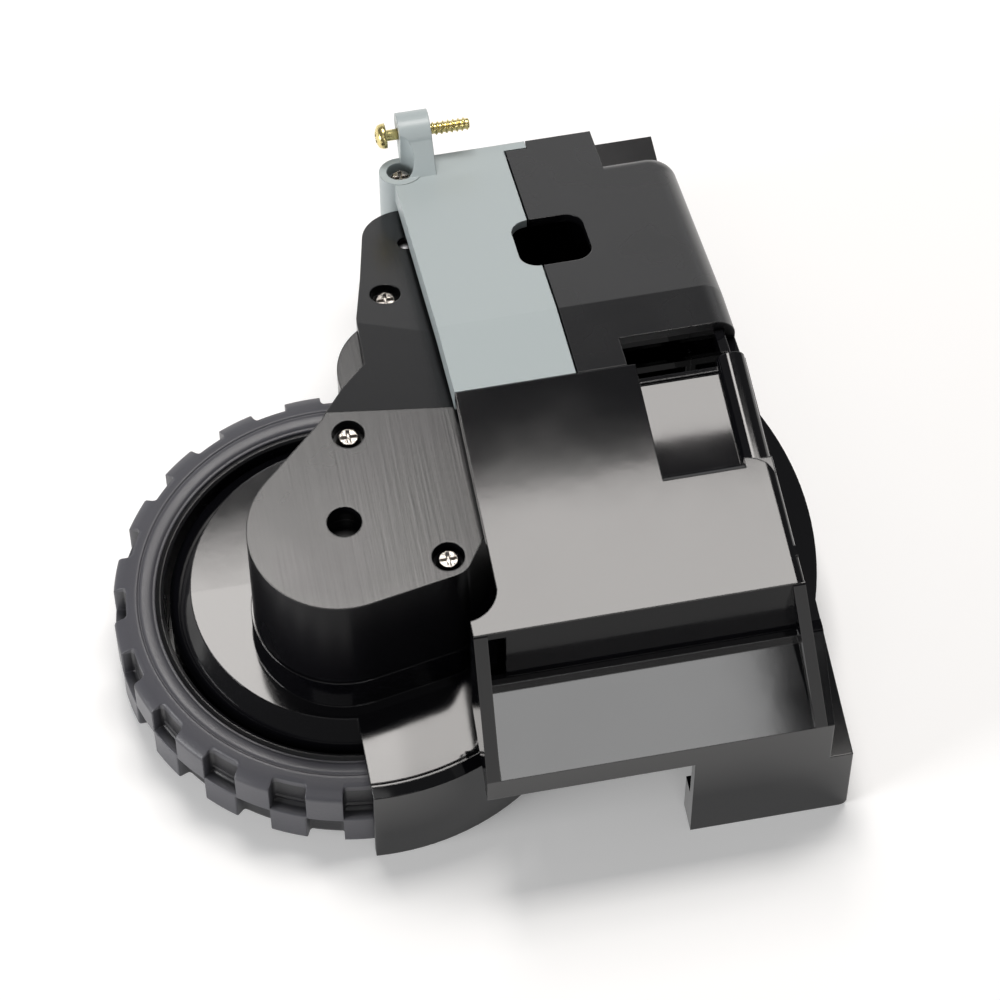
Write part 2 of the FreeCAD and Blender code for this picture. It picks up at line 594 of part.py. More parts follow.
def plate_ears(grow, z0):
    """Straps of the motor plate that reach out to its two screws."""
    ears = []
    for x, y, _ in ARM_SCREWS[:2]:
        start = (MOTOR_XY[0] + 0.5 * (x - MOTOR_XY[0]), MOTOR_XY[1] + 0.5 * (y - MOTOR_XY[1]), EAR_R + grow)
        ears += belt(start, (x, y, EAR_R + grow), z0, MOTOR_Z0)
    return union(*ears)


def arm_screw(index, length):
    x, y, z = ARM_SCREWS[index]
    return pan_screw((x, y), z, length, HEAD_R, HEAD_H, SCREW_R)


def make_pivot_pin():
    pin = cyl(PIVOT_XY, PIVOT_R, 1.2, 30.0)
    groove = tube(PIVOT_XY, PIVOT_R - 0.4, PIVOT_R + 1, 29.1, 29.6)
    return pin.cut(groove)


def make_pivot_ring():
    """Open retaining ring in the groove of the pivot pin."""
    ring = tube(PIVOT_XY, PIVOT_R - 0.4, PIVOT_R + 0.7, 29.1, 29.6)
    return ring.cut(block(PIVOT_XY[0], PIVOT_XY[0] + 5, PIVOT_XY[1] - 0.8, PIVOT_XY[1] + 0.8, 28, 31))


def make_pivot_bushes():
    low = tube(PIVOT_XY, PIVOT_R + FIT, BUSH_R, HINGE_HUB_Z, HINGE_HUB_Z + 6)
    high = tube(PIVOT_XY, PIVOT_R + FIT, BUSH_R, 22.6, 28.8)
    return Part.makeCompound([low, high])


def make_thrust_washer():
    return tube(PIVOT_XY, PIVOT_R + 0.1, 5.4, FLOOR_BOSS_Z, HINGE_HUB_Z)


def make_swing_spring():
    """Square-wire torsion spring round the floor boss; one leg on the arm's peg, one on the frame's hook."""
    height = SPRING_PITCH * SPRING_TURNS
    h = WIRE / 2
    helix = Part.Wire(Part.makeHelix(SPRING_PITCH, height, SPRING_R).Edges)
    corners = [V(SPRING_R - h, 0, -h), V(SPRING_R + h, 0, -h), V(SPRING_R + h, 0, h), V(SPRING_R - h, 0, h)]
    coil = helix.makePipeShell([Part.makePolygon(corners + corners[:1])], True, True)
    low = Part.makeBox(WIRE, 10.5, WIRE, V(SPRING_R - h, -10.5, -h))
    high = Part.makeBox(WIRE, 12.0, WIRE, V(SPRING_R - h, 0, height - h))
    spring = coil.fuse(low).fuse(high).removeSplitter()
    spring = spring.mirror(V(0, 0, 0), V(0, 1, 0))
    spring.translate(V(PIVOT_XY[0], PIVOT_XY[1], SPRING_Z0 + h))
    return spring


def make_drop_switch():
    """Body of the wheel-drop switch with the pin of its lever and its plunger."""
    body = block(29.4, 41.2, SWITCH_Y0, 61.9, 2.2, 9.2)
    ear = union(block(38.8, 41.2, LEVER_XY[1], SWITCH_Y0 + 0.5, 2.2, LEVER_Z[0] - 0.2),
                block(38.8, 41.2, LEVER_XY[1], SWITCH_Y0 + 0.5, LEVER_Z[1] + 0.2, 9.2),
                cyl(LEVER_XY, 1.2, 2.2, LEVER_Z[0] - 0.2), cyl(LEVER_XY, 1.2, LEVER_Z[1] + 0.2, 9.2),
                cyl(LEVER_XY, 0.6, 2.2, 9.2))
    holes = [cyl((31.6, 59.8), 0.8, 8.6, 10), cyl((38.9, 59.8), 0.8, 8.6, 10)]
    return union(body, ear).cut(Part.makeCompound(holes))


def make_drop_lever():
    eye = tube(LEVER_XY, 0.6 + FIT, 1.1, LEVER_Z[0], LEVER_Z[1])
    blade = block(1.0, LEVER_LEN, -0.2, 0.2, LEVER_Z[0], LEVER_Z[1])
    blade.rotate(V(0, 0, 0), Z_AXIS, LEVER_REST)
    blade.translate(V(LEVER_XY[0], LEVER_XY[1], 0))
    return union(eye, blade)


def make_switch_terminals():
    pins = [block(41.2, 44.4, 59.4, 60.2, z, z + 0.5) for z in (3.6, 5.6, 7.6)]
    return Part.makeCompound(pins)


def make_connector():
    """Plug housing in the notch of the far wall, open towards the far side."""
    x0, x1, y0, y1 = CONN
    z0 = DECK_Z + WALL_T
    t = CONN_WALL
    body = block(x0, x1, y0, y1, z0, CONN_Z1)
    body = body.cut(block(x0 + t, x1 - t, y0 + 2.0, y1 + 1, z0 + t, CONN_Z1 - t))
    return body.cut(make_connector_pins())


def make_connector_pins():
    x0, x1, y0, y1 = CONN
    mid = (DECK_Z + WALL_T + CONN_Z1) / 2
    pins = [block(x - 0.32, x + 0.32, y0 + 0.4, y1 - 1.6, mid + dz - 0.32, mid + dz + 0.32)
            for x in (53.7, 55.7, 57.7) for dz in (-1.6, 1.6)]
    return Part.makeCompound(pins)


def roof_z(y):
    """Height of the outer roof line above the point y."""
    for (y0, z0), (y1, z1) in zip(ROOF, ROOF[1:]):
        if y <= y1:
            return z0 + (z1 - z0) * (y - y0) / (y1 - y0)
    return ROOF[-1][1]


def roof_band(y0, y1, top, bottom, x0, x1):
    """Slab under the roof line between two drops, from y0 to y1."""
    knots = [y0] + [y for y, _ in ROOF[1:-1] if y0 < y < y1] + [y1]
    upper = [(y, roof_z(y) - top) for y in knots]
    lower = [(y, roof_z(y) - bottom) for y in reversed(knots)]
    return prism_x(upper + lower, x0, x1)


def below_roof(drop, y0, y1, x0, x1, z0):
    """Solid from z0 up to the roof line lowered by drop."""
    knots = [y0] + [y for y, _ in ROOF[1:-1] if y0 < y < y1] + [y1]
    upper = [(y, roof_z(y) - drop) for y in knots]
    return prism_x(upper + [(y1, z0), (y0, z0)], x0, x1)


def slanted_wall(y0, y1, z0, z1, thick):
    """Right wall: leans out from the roof to its foot on the flange."""
    def x_at(z):
        return X_RIGHT + (X_FOOT - X_RIGHT) * (ROOF[0][1] - z) / (ROOF[0][1] - FLANGE_Z)
    pts = [(x_at(z0), z0), (x_at(z1), z1), (x_at(z1) - thick, z1), (x_at(z0) - thick, z0)]
    face = Part.Face(Part.makePolygon([V(x, y0, z) for x, z in pts + pts[:1]]))
    return face.extrude(V(0, y1 - y0, 0))


def arch_outline(inset, z0, z1):
    """Flange with the bulge that clears the raised wheel."""
    strip = prism([(40.0, FRONT_Y + inset), (FLANGE_X - 0.5 - inset, FRONT_Y + inset),
                   (FLANGE_X - inset, -14.0), (FLANGE_X - inset, 14.0), (64.0 - inset, 30.0), (40.0, 30.0)], z0, z1)
    arc = cyl(ARCH_XY, ARCH_R - inset, z0, z1)
    return union(strip, arc.common(block(40, 90, -24, 40, z0, z1)))


def round_edges(shape, radius, pick):
    """Rounds the edges that pick chooses."""
    return shape.makeFillet(radius, [edge for edge in shape.Edges if pick(edge)])


def on_shoulder(edge):
    """True for an edge between the roof and the right side."""
    ends = [v.Point for v in edge.Vertexes]
    return all(abs(p.z - roof_z(p.y)) < 0.01 and p.x > X_RIGHT - 0.4 for p in ends) and (
        abs(ends[0].y - ends[-1].y) > 1.0)


def frame_roof():
    roof = below_roof(0.0, LIP_Y, COVER_Y0, X_COVER, X_RIGHT + 2, 20).common(
        roof_space(LIP_Y, COVER_Y0))
    hollow = below_roof(ROOF_T, LIP_Y + WALL_T, COVER_Y0 + 1, X_COVER - 1, X_RIGHT - WALL_T, 10)
    roof = round_edges(roof.cut(hollow), ROOF_EDGE_R, on_shoulder)
    ledge = roof_band(COVER_Y0 - 1.0, COVER_Y0 + 3.5, COVER_DROP, COVER_DROP + 1.6, X_COVER + 1.8,
                      RECESS_X[0] - 1.6)
    flare = prism([(POCKET_X, LIP_Y), (X_COVER + 1, LIP_Y), (X_COVER + 1, LIP_Y + 9), (X_COVER, LIP_Y + 9),
                   (POCKET_X, LIP_Y + 3.0)], 20, 60)
    bite = cyl(BITE_XY, BITE_R, 19, 61)
    flare = flare.cut(bite).common(roof_band(LIP_Y, LIP_Y + 11, 0.0, ROOF_T, POCKET_X - 1, X_COVER + 2))
    return union(roof, ledge, flare)


def roof_space(y0, y1):
    """Everything left of the outer face of the right wall, with a rounded shoulder."""
    lean = slanted_wall(y0 - 1, y1 + 1, 10, 60, 80)
    return lean


def pocket():
    """Open pocket under the roof lip: back wall, ledge, sloped panel and side walls."""
    x1 = X_FOOT
    deep = LIP_Y + CAVITY + WALL_T
    back = block(POCKET_X, X_RIGHT, deep - WALL_T, deep, PANEL_Z - WALL_T, roof_z(LIP_Y) - 0.1)
    shelf = block(POCKET_X, X_RIGHT, LIP_Y, deep, PANEL_Z - WALL_T, PANEL_Z)
    bite = cyl(BITE_XY, BITE_R, 19, 61)
    cheek = tube(BITE_XY, BITE_R, BITE_R + WALL_T, PANEL_Z - WALL_T, roof_z(LIP_Y) - 0.1)
    cheek = cheek.fuse(block(POCKET_X, POCKET_X + POCKET_WALL, LIP_Y, LIP_Y + 2.0, PANEL_Z - WALL_T, 48))
    cheek = cheek.common(block(POCKET_X, X_COVER + 3, LIP_Y, deep, 20, 60))
    panel = prism_x([(LIP_Y + WALL_T, PANEL_Z), (LIP_Y, PANEL_Z), (FRONT_Y, FRONT_Z), (FRONT_Y, WINDOW_Z),
                     (FRONT_Y + WALL_T, WINDOW_Z), (FRONT_Y + WALL_T, FRONT_Z - 1.2),
                     (LIP_Y + WALL_T, PANEL_Z - 2.6)], POCKET_X, x1)
    ledge = prism_x([(LIP_Y + 0.5, PANEL_Z), (LIP_Y - 1.0, PANEL_Z - 1.5), (LIP_Y - 1.0, PANEL_Z + 1.2),
                     (LIP_Y + 0.5, PANEL_Z + 1.8)], POCKET_X, X_RIGHT + 1)
    side = [(LIP_Y, roof_z(LIP_Y)), (FRONT_Y, FRONT_Z), (FRONT_Y, WINDOW_Z), (LIP_Y + WALL_T, WINDOW_Z + 8),
            (LIP_Y + WALL_T, roof_z(LIP_Y) - 0.1)]
    left = prism_x(side, POCKET_X, POCKET_X + POCKET_WALL)
    right = prism_x(side, X_RIGHT - 3, X_FOOT + 1).common(slanted_wall(FRONT_Y - 1, 0, 10, 60, WALL_T))
    right = right.cut(block(0, 99, LIP_Y, 0, roof_z(LIP_Y) - SHOULDER_R - 1.0, 60))
    return union(back.cut(bite), shelf.cut(bite), cheek.cut(bite), panel, ledge, left, right)


def frame_right_side():
    """Right wall, flange shelf, arched outer wall, front leg."""
    wall = slanted_wall(FRONT_Y, COVER_Y0 + 2, FLANGE_Z - 1, roof_z(LIP_Y) - SHOULDER_R - 1.0, WALL_T)
    wall = wall.common(pocket_side_space())
    flange = arch_outline(0.0, 0.0, FLANGE_Z).cut(arch_outline(WALL_T, -1.0, FLANGE_Z - WALL_T))
    inner = block(-10, X_FOOT - WALL_T, FRONT_Y + WALL_T, 31, -1, 40)
    inner = inner.fuse(cyl(ARCH_XY, ARCH_R - WALL_T, -1, FLANGE_Z + 1).common(block(0, 90, -20, 20, -2, 30)))
    flange = flange.cut(block(0, X_FOOT - WALL_T, FRONT_Y + WALL_T, 31, -1, 40))
    flange = flange.cut(block(0, LEG_X0, FRONT_Y - 1, 40, -1, 40))
    leg = block(LEG_X0, X_FOOT, FRONT_Y, FRONT_Y + WALL_T, 0, WINDOW_Z + 1)
    x = FLANGE_X - 0.5 - LEG_R
    corner = block(x, FLANGE_X + 1, FRONT_Y - 1, FRONT_Y + WALL_T, -1, LEG_R).cut(
        Part.makeCylinder(LEG_R, 9, V(x, FRONT_Y - 2, LEG_R), V(0, 1, 0)))
    lip = block(LEG_X0, LEG_X0 + 1.5, FRONT_Y + 0.2, FRONT_Y + 4.5, 0, 9.0)
    rear = block(X_RIGHT - WALL_T, X_RIGHT, COVER_Y0 - 1, FAR_Y - 2.4, 0, 12)
    tall = below_roof(SKIRT + SEAM, COVER_Y0 + 1, FAR_Y - 2.4, X_RIGHT - WALL_T, X_RIGHT, 0)
    tall = tall.cut(block(50, 90, FAR_Y - 9.0, FAR_Y, DECK_Z + WALL_T - 0.05, 60))
    return union(wall, flange.cut(corner), leg, lip, rear, tall)


def pocket_side_space():
    """Space that the right wall may fill beside the pocket."""
    return prism_x([(FRONT_Y, 0), (FRONT_Y, FRONT_Z), (LIP_Y, roof_z(LIP_Y)), (COVER_Y0, roof_z(COVER_Y0)),
                    (COVER_Y0 + 8, 40), (COVER_Y0 + 8, 0)], 0, 100)


def swept_wheel(r, z0, z1):
    """Room of the wheel from dropped to raised."""
    room = []
    for k in range(4):
        a = math.radians(SWING_MAX * k / 3)
        dx, dy = -PIVOT_XY[0], -PIVOT_XY[1]
        x = PIVOT_XY[0] + dx * math.cos(a) - dy * math.sin(a)
        y = PIVOT_XY[1] + dx * math.sin(a) + dy * math.cos(a)
        room.append(cyl((x, y), r, z0, z1))
    return union(*room)


def frame_rear():
    """Floor round the hinge, far wall, connector bay and the post of the grey cover."""
    floor = block(13.0, X_RIGHT, 30.0, FAR_Y, 0, 2.2).cut(swept_wheel(TYRE_R + 1.6, -1, 20))
    far = below_roof(COVER_DROP, FAR_Y - 4.2, FAR_Y - 2.4, 17.0, X_RIGHT, 0)
    far = far.cut(block(CONN[0] - 0.2, 70, 60, 70, DECK_Z + WALL_T - 0.05, 60))
    far = far.cut(cyl(POST_XY, POST_R + 0.3, 16.0, 60))
    boss = cyl(PIVOT_XY, 5.5, 0, FLOOR_BOSS_Z)
    bay = block(BAY_X, X_RIGHT, BAY_Y, FAR_Y - 3, DECK_Z, DECK_Z + WALL_T)
    bay_wall = below_roof(COVER_DROP, BAY_Y, FAR_Y - 3, BAY_X, BAY_X + WALL_T, DECK_Z)
    front = below_roof(COVER_DROP, BAY_Y, BAY_Y + WALL_T, BAY_X, X_RIGHT - WALL_T - SEAM, DECK_Z)
    front = front.fuse(below_roof(SKIRT + SEAM, BAY_Y, BAY_Y + WALL_T, X_RIGHT - 5, X_RIGHT, DECK_Z))
    post = cyl(POST_XY, POST_R, 0, 16.0)
    hook = cyl(HOOK_XY, PEG_R, 2.0, 5.6)
    end = block(X_RIGHT - WALL_T - 1, X_RIGHT, FAR_Y - 9, FAR_Y - 2.4, 0, DECK_Z + WALL_T)
    body = union(floor, far, boss, bay, bay_wall, front, post, hook, end)
    return body.cut(cyl(PIVOT_XY, PIVOT_R, 1.2, 20)).cut(cyl(POST_XY, SCREW_R + 0.1, 8, 20))


def make_main_frame():
    body = union(frame_roof(), pocket(), frame_right_side(), frame_rear(), side_bridge())
    recess = roof_band(RECESS_Y[0], COVER_Y0 + 1, -2.0, RECESS_D, RECESS_X[0], RECESS_X[1])
    recess = recess.common(block(0, 99, RECESS_Y[0], RECESS_Y[1] + 6, 0, 99))
    sunk = roof_band(RECESS_Y[0] - 1, RECESS_Y[1] + 1.2, RECESS_D, RECESS_D + 1.6, RECESS_X[0] - 1.6,
                     RECESS_X[1] + 1.0)
    edge = roof_band(RECESS_Y[0] - 1.2, RECESS_Y[0], ROOF_T - 0.2, RECESS_D + 1.0, RECESS_X[0] - 1.6,
                     RECESS_X[1] + 1.0)
    left = roof_band(RECESS_Y[0] - 1.2, COVER_Y0, ROOF_T - 0.2, RECESS_D + 1.0, RECESS_X[0] - 1.6, RECESS_X[0])
    upstand = roof_band(RECESS_Y[1] + 0.4, RECESS_Y[1] + 1.2, RECESS_D - 0.6, RECESS_D + 0.5, RECESS_X[0],
                        RECESS_X[1] + 0.5)
    body = body.cut(Part.makeCompound([recess, rim_room(), rolled_edge(), round_corner()]))
    return union(body, sunk, edge, left, upstand, recess_rim())


def rim_room():
    """Space over the rim beside the recess."""
    return roof_band(RECESS_Y[0], COVER_Y0 + 1, -2.0, RECESS_D, RECESS_X[1] - 0.1, X_RIGHT + 2)


def recess_rim():
    """Full round rim between the recess and the right side."""
    rim = roof_band(RECESS_Y[0] - 0.5, COVER_Y0, RIM_DROP, RECESS_D + 1.6, RECESS_X[1], X_RIGHT - 0.05)
    def on_top(edge):
        ends = [v.Point for v in edge.Vertexes]
        return all(p.z > roof_z(p.y) - RIM_DROP - 0.01 for p in ends) and abs(ends[0].y - ends[-1].y) > 1.0
    return round_edges(rim, RIM_ROUND, on_top)


def rolled_edge():
    """What the rolled edge takes off the roof before the recess."""
    y, z = RECESS_Y[0] - RECESS_ROLL, roof_z(RECESS_Y[0]) - RECESS_ROLL
    corner = block(RECESS_X[0], RECESS_X[1] + 0.1, y, RECESS_Y[0] + 0.1, z, z + RECESS_ROLL + 1)
    return corner.cut(Part.makeCylinder(RECESS_ROLL, 30, V(RECESS_X[0] - 5, y, z), V(1, 0, 0)))


def round_corner():
    """What the round corner takes off the roof before the rim."""
    r = X_RIGHT - RECESS_X[1]
    corner = roof_band(RECESS_Y[0] - r, RECESS_Y[0] + 0.1, -1.0, RIM_DROP, RECESS_X[1], X_RIGHT + 1)
    return corner.cut(cyl((RECESS_X[1], RECESS_Y[0] - r), r, 0, 99))


def side_bridge():
    """Rail inside the right wall that ties roof, wall and bay together."""
    rail = below_roof(COVER_DROP, COVER_Y0 + 0.5, BAY_Y + 1, X_RIGHT - 3.4, X_RIGHT - WALL_T - SEAM, 30)
    return rail.fuse(below_roof(SKIRT + SEAM, COVER_Y0 + 0.5, BAY_Y + 1, X_RIGHT - 3.4, X_RIGHT - 0.5, 30))


def make_grey_cover():
    """Cover over the hinge, with the tab of the fixing screw and its own screw post."""
    x0, x1 = X_COVER, X_SEAM - SEAM
    y0 = COVER_Y0 + SEAM
    plate = roof_band(y0, FAR_Y, 0.0, ROOF_T, x0, x1)
    skirt = roof_band(y0, FAR_Y, 0.0, SKIRT, x0, x0 + 1.5)
    far = roof_band(FAR_Y - 2.0, FAR_Y, 0.0, SKIRT, x0, x1)
    post = below_roof(0.0, POST_XY[1] - 5, POST_XY[1] + 5, X_COVER - 5, X_COVER + 10, 16.1)
    post = post.common(cyl(POST_XY, POST_R, 10, 60))
    tab = tab_plate()
    tongue = roof_band(FAR_Y - TONGUE[1], FAR_Y, 0.0, ROOF_T, x0 + 5, TONGUE[0])
    body = union(plate, skirt, far, post, tab, tongue)
    y, z = TAB_YZ
    cuts = [Part.makeCylinder(NECK_R + 0.15, 30, V(TAB_X[0] - 5, y, z), V(1, 0, 0)),
            cyl(POST_XY, HEAD_R + 0.3, roof_z(POST_XY[1]) - 2.6, 60), cyl(POST_XY, SCREW_R + 0.15, 10, 60),
            cover_opening()]
    return body.cut(Part.makeCompound(cuts))


def tab_plate():
    y, z = TAB_YZ
    disc = Part.makeCylinder(TAB_R, TAB_X[1] - TAB_X[0], V(TAB_X[0], y, z), V(1, 0, 0))
    foot_y = FAR_Y - 6.0
    web = prism_x([(y - TAB_R * 0.9, z + 1.4), (y + TAB_R * 0.95, z - 1.0), (FAR_Y, roof_z(FAR_Y) - 1.0),
                   (foot_y, roof_z(foot_y) - 1.0)], TAB_X[0], TAB_X[1])
    return union(disc, web)


def cover_opening():
    """Rounded opening through both covers."""
    x0, x1, y0, y1 = HOLE
    r = 3.0
    parts = [block(x0 + r, x1 - r, y0, y1, 20, 60), block(x0, x1, y0 + r, y1 - r, 20, 60)]
    parts += [cyl((x, y), r, 20, 60) for x in (x0 + r, x1 - r) for y in (y0 + r, y1 - r)]
    return union(*parts)


def make_black_cover():
    x0, x1 = X_SEAM + SEAM, X_RIGHT
    y0 = COVER_Y0 + SEAM
    plate = roof_band(y0, FAR_Y, 0.0, ROOF_T, x0, x1)
    side = roof_band(SLOT_Y, FAR_Y, 0.0, SKIRT, x1 - WALL_T, x1)
    far = roof_band(FAR_Y - 2.0, FAR_Y, 0.0, SKIRT, x0, x1)
    body = union(plate, side, far)
    body = body.cut(roof_band(FAR_Y - TONGUE[1] - 2 * SEAM, FAR_Y, -1.0, ROOF_T + SEAM, x0 - 1, TONGUE[0] + SEAM))
    notch = block(RECESS_X[0] - 1.2, 99, 0, SLOT_Y, 20, 99)
    return body.cut(Part.makeCompound([notch, cover_opening()])).common(cover_space())


def cover_space():
    """Space of the cover at the far end: rounded shoulder, rounded corner beside the connector."""
    space = below_roof(0.0, COVER_Y0 - 5, FAR_Y, X_SEAM, X_RIGHT, 20)
    space = space.cut(block(CONN[0] - 0.4, 99, FAR_Y - 8.8, 99, 10, 99))
    space = round_edges(space, CORNER_R, on_far_corner)
    return round_edges(space, SHOULDER_R, on_shoulder)


def on_far_corner(edge):
    """True for the upright edge beside the connector."""
    ends = [v.Point for v in edge.Vertexes]
    return len(ends) == 2 and all(abs(p.x - X_RIGHT) < 0.01 and p.y > FAR_Y - 9.5 for p in ends) and (
        abs(ends[0].z - ends[1].z) > 2.0)


def make_captive_screw():
    y, z = TAB_YZ
    head = Part.makeCone(1.6, 2.0, 0.9, V(0, 0, 0), V(1, 0, 0)).fuse(
        Part.makeCylinder(2.0, 0.8, V(0.9, 0, 0), V(1, 0, 0)))
    head_x = TAB_X[0] - 3.6
    neck = Part.makeCylinder(NECK_R, THREAD_X - head_x - 1.6, V(1.7, 0, 0), V(1, 0, 0))
    thread = Part.makeCylinder(CAPTIVE_R, THREAD_END_X - THREAD_X, V(THREAD_X - head_x, 0, 0), V(1, 0, 0))
    screw = union(head, neck, thread)
    screw.translate(V(head_x, y, z))
    return screw


def make_cover_screw():
    return pan_screw(POST_XY, roof_z(POST_XY[1]) - 2.6, 16.0, HEAD_R, 1.3, SCREW_R)


NODES = [
    ("tyre", make_tyre), ("wheel_hub", make_wheel_hub), ("hub_cap", make_hub_cap),
    ("wheel_screw", make_wheel_screw), ("output_shaft", make_output_shaft), ("output_gear", make_output_gear),
    ("output_bushing", make_output_bushing), ("gearbox_base", make_gearbox_base),
    ("drum_plate", make_bottom_plate), ("drum_plate_screws", make_plate_screws),
    ("gear_pins", make_gear_pins), ("gear_one", make_gear_one), ("gear_two", make_gear_two),
    ("motor_pinion", make_motor_pinion), ("motor_shaft", make_motor_shaft), ("motor_can", make_motor_can),
    ("motor_cap", make_motor_cap),
    ("motor_plate", make_motor_plate), ("arm_cover", make_arm_cover),
    ("motor_screw", lambda: arm_screw(0, 18.4)), ("lug_screw", lambda: arm_screw(1, 22.4)),
    ("arm_screw", lambda: arm_screw(2, 16.0)), ("pivot_pin", make_pivot_pin),
    ("pivot_ring", make_pivot_ring), ("pivot_bushes", make_pivot_bushes),
    ("thrust_washer", make_thrust_washer), ("swing_spring", make_swing_spring),
    ("main_frame", make_main_frame), ("grey_cover", make_grey_cover), ("black_cover", make_black_cover),
    ("captive_screw", make_captive_screw), ("cover_screw", make_cover_screw),
    ("drop_switch", make_drop_switch), ("drop_lever", make_drop_lever),
    ("switch_terminals", make_switch_terminals), ("connector_housing", make_connector),
    ("connector_pins", make_connector_pins),
]


def main():
    os.makedirs("parts", exist_ok=True)
    for name, make in NODES:
        shape = make()
        shape.translate(V(-ORIGIN[0], -ORIGIN[1], 0))
        print(name, shape.ShapeType, len(shape.Solids), shape.isValid(), round(shape.Volume, 1),
              [round(v, 2) for v in (shape.BoundBox.XMin, shape.BoundBox.XMax, shape.BoundBox.YMin,
                                     shape.BoundBox.YMax, shape.BoundBox.ZMin, shape.BoundBox.ZMax)])
        shape.exportStep("parts/" + name + ".step")


main()
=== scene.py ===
import json
import logging
import math
from dataclasses import dataclass, field
from enum import Enum

import bpy
import numpy as np
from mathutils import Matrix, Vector

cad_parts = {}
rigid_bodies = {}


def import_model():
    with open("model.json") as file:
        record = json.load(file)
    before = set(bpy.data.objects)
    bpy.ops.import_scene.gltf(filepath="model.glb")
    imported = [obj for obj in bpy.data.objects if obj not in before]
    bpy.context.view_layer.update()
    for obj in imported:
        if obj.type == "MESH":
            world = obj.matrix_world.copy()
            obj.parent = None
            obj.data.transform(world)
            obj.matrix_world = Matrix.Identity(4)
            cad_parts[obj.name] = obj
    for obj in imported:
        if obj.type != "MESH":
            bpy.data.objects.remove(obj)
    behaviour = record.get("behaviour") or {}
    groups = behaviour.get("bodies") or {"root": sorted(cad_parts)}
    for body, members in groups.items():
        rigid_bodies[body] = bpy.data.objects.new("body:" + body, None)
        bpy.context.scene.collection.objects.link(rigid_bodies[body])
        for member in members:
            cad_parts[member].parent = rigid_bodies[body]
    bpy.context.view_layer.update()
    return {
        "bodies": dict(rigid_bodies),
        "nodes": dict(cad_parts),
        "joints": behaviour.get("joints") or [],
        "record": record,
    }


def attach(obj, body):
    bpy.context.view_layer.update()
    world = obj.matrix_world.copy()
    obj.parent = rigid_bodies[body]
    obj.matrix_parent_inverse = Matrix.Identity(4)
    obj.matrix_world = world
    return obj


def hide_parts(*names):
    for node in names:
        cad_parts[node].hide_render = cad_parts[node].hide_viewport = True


# Lengths are metres in the row frame, unless a comment or docstring says millimetres.

Pair = tuple[float, float]
Triple = tuple[float, float, float]

LOG = logging.getLogger("wheel_module")
MM_PER_METRE = 1000.0

WHEEL: Pair = (-0.01795, -0.0143)
WHITE: Triple = (1.0, 1.0, 1.0)
WARM: Triple = (1.0, 0.968, 0.94)

# Finish of the nodes that don't have the one of their material slot.
OWN_FINISH = {"gearbox_base": "drum_gloss", "arm_cover": "arm_satin"}

# How the roughness of every finish wanders: repeats per metre, octaves, usual range of the noise.
WANDER_SCALE = 60.0
WANDER_DETAIL = 3.0
WANDER_RANGE: Pair = (0.3, 0.7)
LEAST_ROUGHNESS = 0.02

# Octaves and height of the fine structure, and samples for the softened edges.
GRAIN_DETAIL = 4.0
STRETCH_DETAIL = 3.0
STRUCTURE_HEIGHT = 0.0001
EDGE_SAMPLES = 6

# Share of the specular level that is taken away where shade is painted.
SHADE_GLEAM_LOST = 0.85

# Radius and height of the tyre's section below and above the tread, in millimetres.
TYRE_BELOW = [
    (29.52, 1.25), (29.9, 1.0), (31.5, 1.0), (32.9, 1.05), (33.9, 1.25), (34.9, 1.7),
    (35.6, 2.0), (35.9, 2.2), (36.0, 2.5),
]
TYRE_ABOVE = [
    (36.0, 14.15), (35.9, 14.45), (35.65, 14.7), (35.2, 15.0), (34.75, 15.25), (34.45, 15.4),
    (34.0, 15.55), (33.4, 15.75), (32.8, 15.9), (32.45, 16.0), (32.3, 15.98), (32.2, 15.8),
    (32.1, 15.72), (31.98, 15.8), (31.85, 15.9), (31.5, 15.92), (31.0, 15.9), (30.5, 15.82),
    (30.15, 15.7), (30.0, 15.55), (29.9, 15.42), (29.78, 15.5), (29.62, 15.5), (29.52, 15.3),
]

# Heights of the cuts through the tread's plain parts and its rib, in millimetres.
TREAD_BELOW = [2.9, 3.6, 4.6, 5.6, 6.6]
TREAD_RIB = [9.9, 10.0, 10.1, 10.3, 10.4, 10.5]
TREAD_ABOVE = [11.2, 12.2, 13.2, 13.8]

# Cuts round a lug: shares of its edge, distances down its wall in millimetres, shares of the
# fillet at its foot, and shares of the way from one lug's side to the next.
EDGE_CUTS = (1.0, 0.7, 0.3)
WALL_CUTS = (0.0, 0.03)
FILLET_CUTS = (0.12, 0.35, 0.65, 1.0)
PLAIN_CUTS = (0.32, 0.5, 0.68)

# The screw's head: shares of its radius with heights over its underside in millimetres, and
# shares of its radius over the dome.
HEAD_RIM = [(1.0, 0.0), (1.0, 0.45), (0.985, 0.62), (0.95, 0.85)]
HEAD_DOME = np.linspace(0.9, 0.025, 28)

# Under the head, in millimetres: heights with distances from the neck, and distances in from
# the rim.
NECK_FILLET = [(0.12, 0.0), (0.03, 0.05), (0.0, 0.12)]
UNDERSIDE = (0.1, 0.02)


class Texture(Enum):
    """Kinds of fine surface structure that a finish can have."""

    SMOOTH = "smooth"
    GRAIN = "grain"
    BRUSHED = "brushed"
    STREAKED = "streaked"


STRETCH = {Texture.BRUSHED: (1.0, 1.0, 14.0), Texture.STREAKED: (1.0, 0.03, 0.2)}


